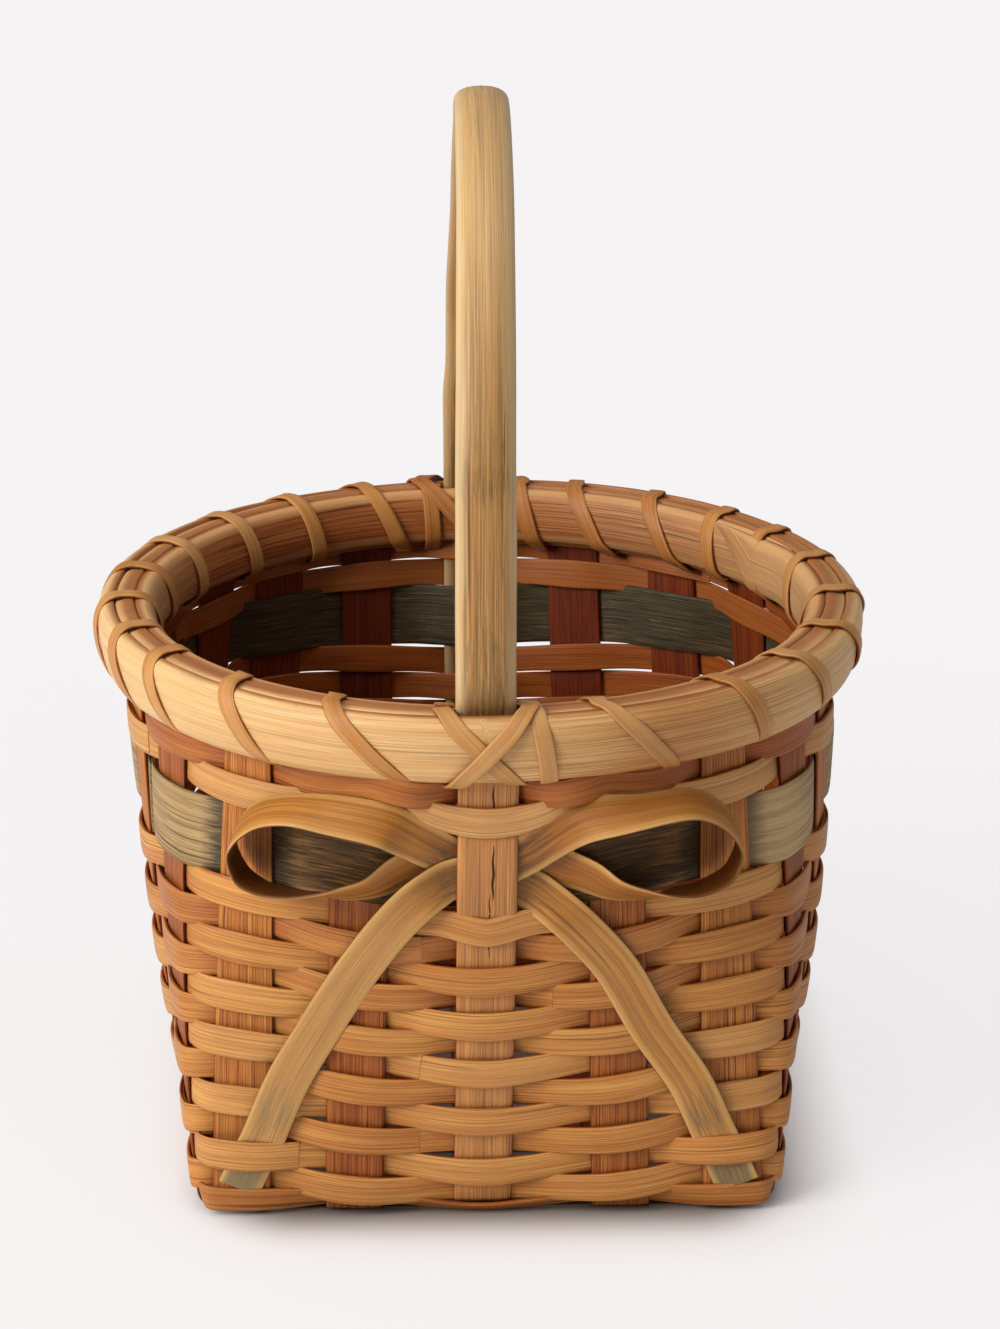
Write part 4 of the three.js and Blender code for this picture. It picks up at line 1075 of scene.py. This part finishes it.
class BASKET_OT_stage(bpy.types.Operator):
    """Sets the pale floor, the soft studio light and the camera of the photograph"""
    bl_idname = "basket.stage"
    bl_label = "Stage"

    def execute(self, context):
        stage = context.scene.basket_stage
        scene = context.scene
        scene.view_settings.view_transform = "Standard"
        self.floor(scene, stage)
        self.world(scene, stage)
        for name, (place, size, share) in SOFT_BOXES.items():
            data = bpy.data.lights.new(name, "AREA")
            data.shape = "SQUARE"
            data.size = size
            data.energy = stage.key_power * share
            lamp = bpy.data.objects.new(name, data)
            lamp.location = place
            lamp.rotation_euler = (Vector(LIGHT_AIM) - Vector(place)).to_track_quat("-Z", "Y").to_euler()
            scene.collection.objects.link(lamp)
        # Camera: the photograph's place and long lens, level from side to side
        data = bpy.data.cameras.new("camera")
        data.sensor_fit = "VERTICAL"
        data.sensor_height = SENSOR_MM
        data.sensor_width = SENSOR_MM
        data.lens = CAMERA_LENS_MM
        data.clip_start = 0.1
        data.clip_end = 20.0
        camera = bpy.data.objects.new("camera", data)
        camera.location = CAMERA_PLACE
        camera.rotation_euler = Vector(CAMERA_DIRECTION).to_track_quat("-Z", "Y").to_euler()
        scene.collection.objects.link(camera)
        scene.camera = camera
        return {"FINISHED"}

    def floor(self, scene, stage):
        """Paper floor, with the basket's shadow: pale to the camera, and more so far away. Its colour is
        painted dark under and just round the base, a painted contact shadow.
        """
        paper = bpy.data.materials.new("matt paper floor")
        paper.use_nodes = True
        tree = paper.node_tree
        tree.nodes.clear()
        place = add(tree, "ShaderNodeTexCoord").outputs["Object"]
        away = add(tree, VECTOR_MATH, place, operation="LENGTH").outputs["Value"]
        pale = add(tree, SPREAD, away, 0.15, 0.45, 0.85, 1.0)
        flat = place
        for work, *values in (
            ("SUBTRACT", SHADOW_SHIFT), ("MULTIPLY", SHADOW_SCALE), ("ABSOLUTE",),
            ("SUBTRACT", SHADOW_HALF), ("MAXIMUM", (0.0, 0.0, 0.0)),
        ):
            flat = add(tree, VECTOR_MATH, flat, *values, operation=work)
        out = add(tree, VECTOR_MATH, flat, operation="LENGTH").outputs["Value"]
        open_floor = add(tree, SPREAD, out, 0.02, 0.063, interpolation_type="SMOOTHSTEP")
        seen = add(tree, "ShaderNodeLightPath").outputs["Is Camera Ray"]
        seen = add(tree, MATH, seen, pale, operation="MULTIPLY")
        seen = add(tree, MATH, seen, open_floor, operation="MULTIPLY")
        tooth = add(tree, NOISE, {"Vector": place, "Scale": 900.0})
        tooth = add(tree, "ShaderNodeBump", {"Strength": 0.05, "Distance": 0.0002, "Height": tooth})
        # Painted shadow: the paper's colour darkens to brown-grey under the base and in a narrow band round
        # it
        beside = add(tree, SPREAD, out, 0.013, 0.043, interpolation_type="SMOOTHSTEP")
        shade = add(tree, MIX, {0: beside, 6: linear("726459"), 7: linear("f3efed")}, data_type="RGBA")
        lit = add(tree, "ShaderNodeBsdfDiffuse", {"Color": shade, "Normal": tooth})
        glow = add(tree, "ShaderNodeEmission", {"Color": tuple(stage.floor_colour), "Strength": 1.0})
        both = add(tree, "ShaderNodeMixShader", seen, lit, glow)
        add(tree, "ShaderNodeOutputMaterial", both)
        mesh = bpy.data.meshes.new("floor")
        corners = [(x * FLOOR_HALF, y * FLOOR_HALF, 0) for x, y in ((-1, -1), (1, -1), (1, 1), (-1, 1))]
        mesh.from_pydata(corners, [], [(0, 1, 2, 3)])
        mesh.materials.append(paper)
        floor = bpy.data.objects.new("floor", mesh)
        scene.collection.objects.link(floor)

    def world(self, scene, stage):
        """World: pale to the camera, a soft fill for the rest."""
        world = bpy.data.worlds.new("studio")
        world.use_nodes = True
        tree = world.node_tree
        tree.nodes.clear()
        path = add(tree, "ShaderNodeLightPath").outputs
        direct = add(tree, MATH, path["Is Camera Ray"], path["Is Transmission Ray"], operation="MAXIMUM")
        level = add(tree, MIX, {"Factor": direct, "A": stage.fill_level, "B": 1.0}, data_type="FLOAT")
        sky = add(tree, "ShaderNodeBackground", {"Color": linear("f3f2f3"), "Strength": level})
        add(tree, "ShaderNodeOutputWorld", sky)
        scene.world = world


class BASKET_PT_panel(bpy.types.Panel):
    bl_label = "Woven Basket"
    bl_idname = "BASKET_PT_panel"
    bl_space_type = "VIEW_3D"
    bl_region_type = "UI"
    bl_category = "Basket"

    def draw(self, context):
        for group in (context.scene.basket_sizes, context.scene.basket_stage):
            for name in group.__annotations__:
                self.layout.prop(group, name)
        for step in STEPS:
            self.layout.operator(step.bl_idname)


STEPS = (
    BASKET_OT_stage, BASKET_OT_stakes, BASKET_OT_weavers, BASKET_OT_rims, BASKET_OT_lashing,
    BASKET_OT_handle, BASKET_OT_bow,
)
CLASSES = (BasketSizes, BasketStage, *STEPS, BASKET_PT_panel)


def register():
    for one in CLASSES:
        bpy.utils.register_class(one)
    bpy.types.Scene.basket_sizes = bpy.props.PointerProperty(type=BasketSizes)
    bpy.types.Scene.basket_stage = bpy.props.PointerProperty(type=BasketStage)


def unregister():
    del bpy.types.Scene.basket_stage
    del bpy.types.Scene.basket_sizes
    for one in reversed(CLASSES):
        bpy.utils.unregister_class(one)


def main():
    register()
    bpy.ops.basket.stage()
    bpy.ops.basket.stakes()
    bpy.ops.basket.weavers()
    bpy.ops.basket.rims()
    bpy.ops.basket.lashing()
    bpy.ops.basket.handle()
    bpy.ops.basket.bow()
    bpy.context.view_layer.update()


if __name__ == "__main__":
    main()
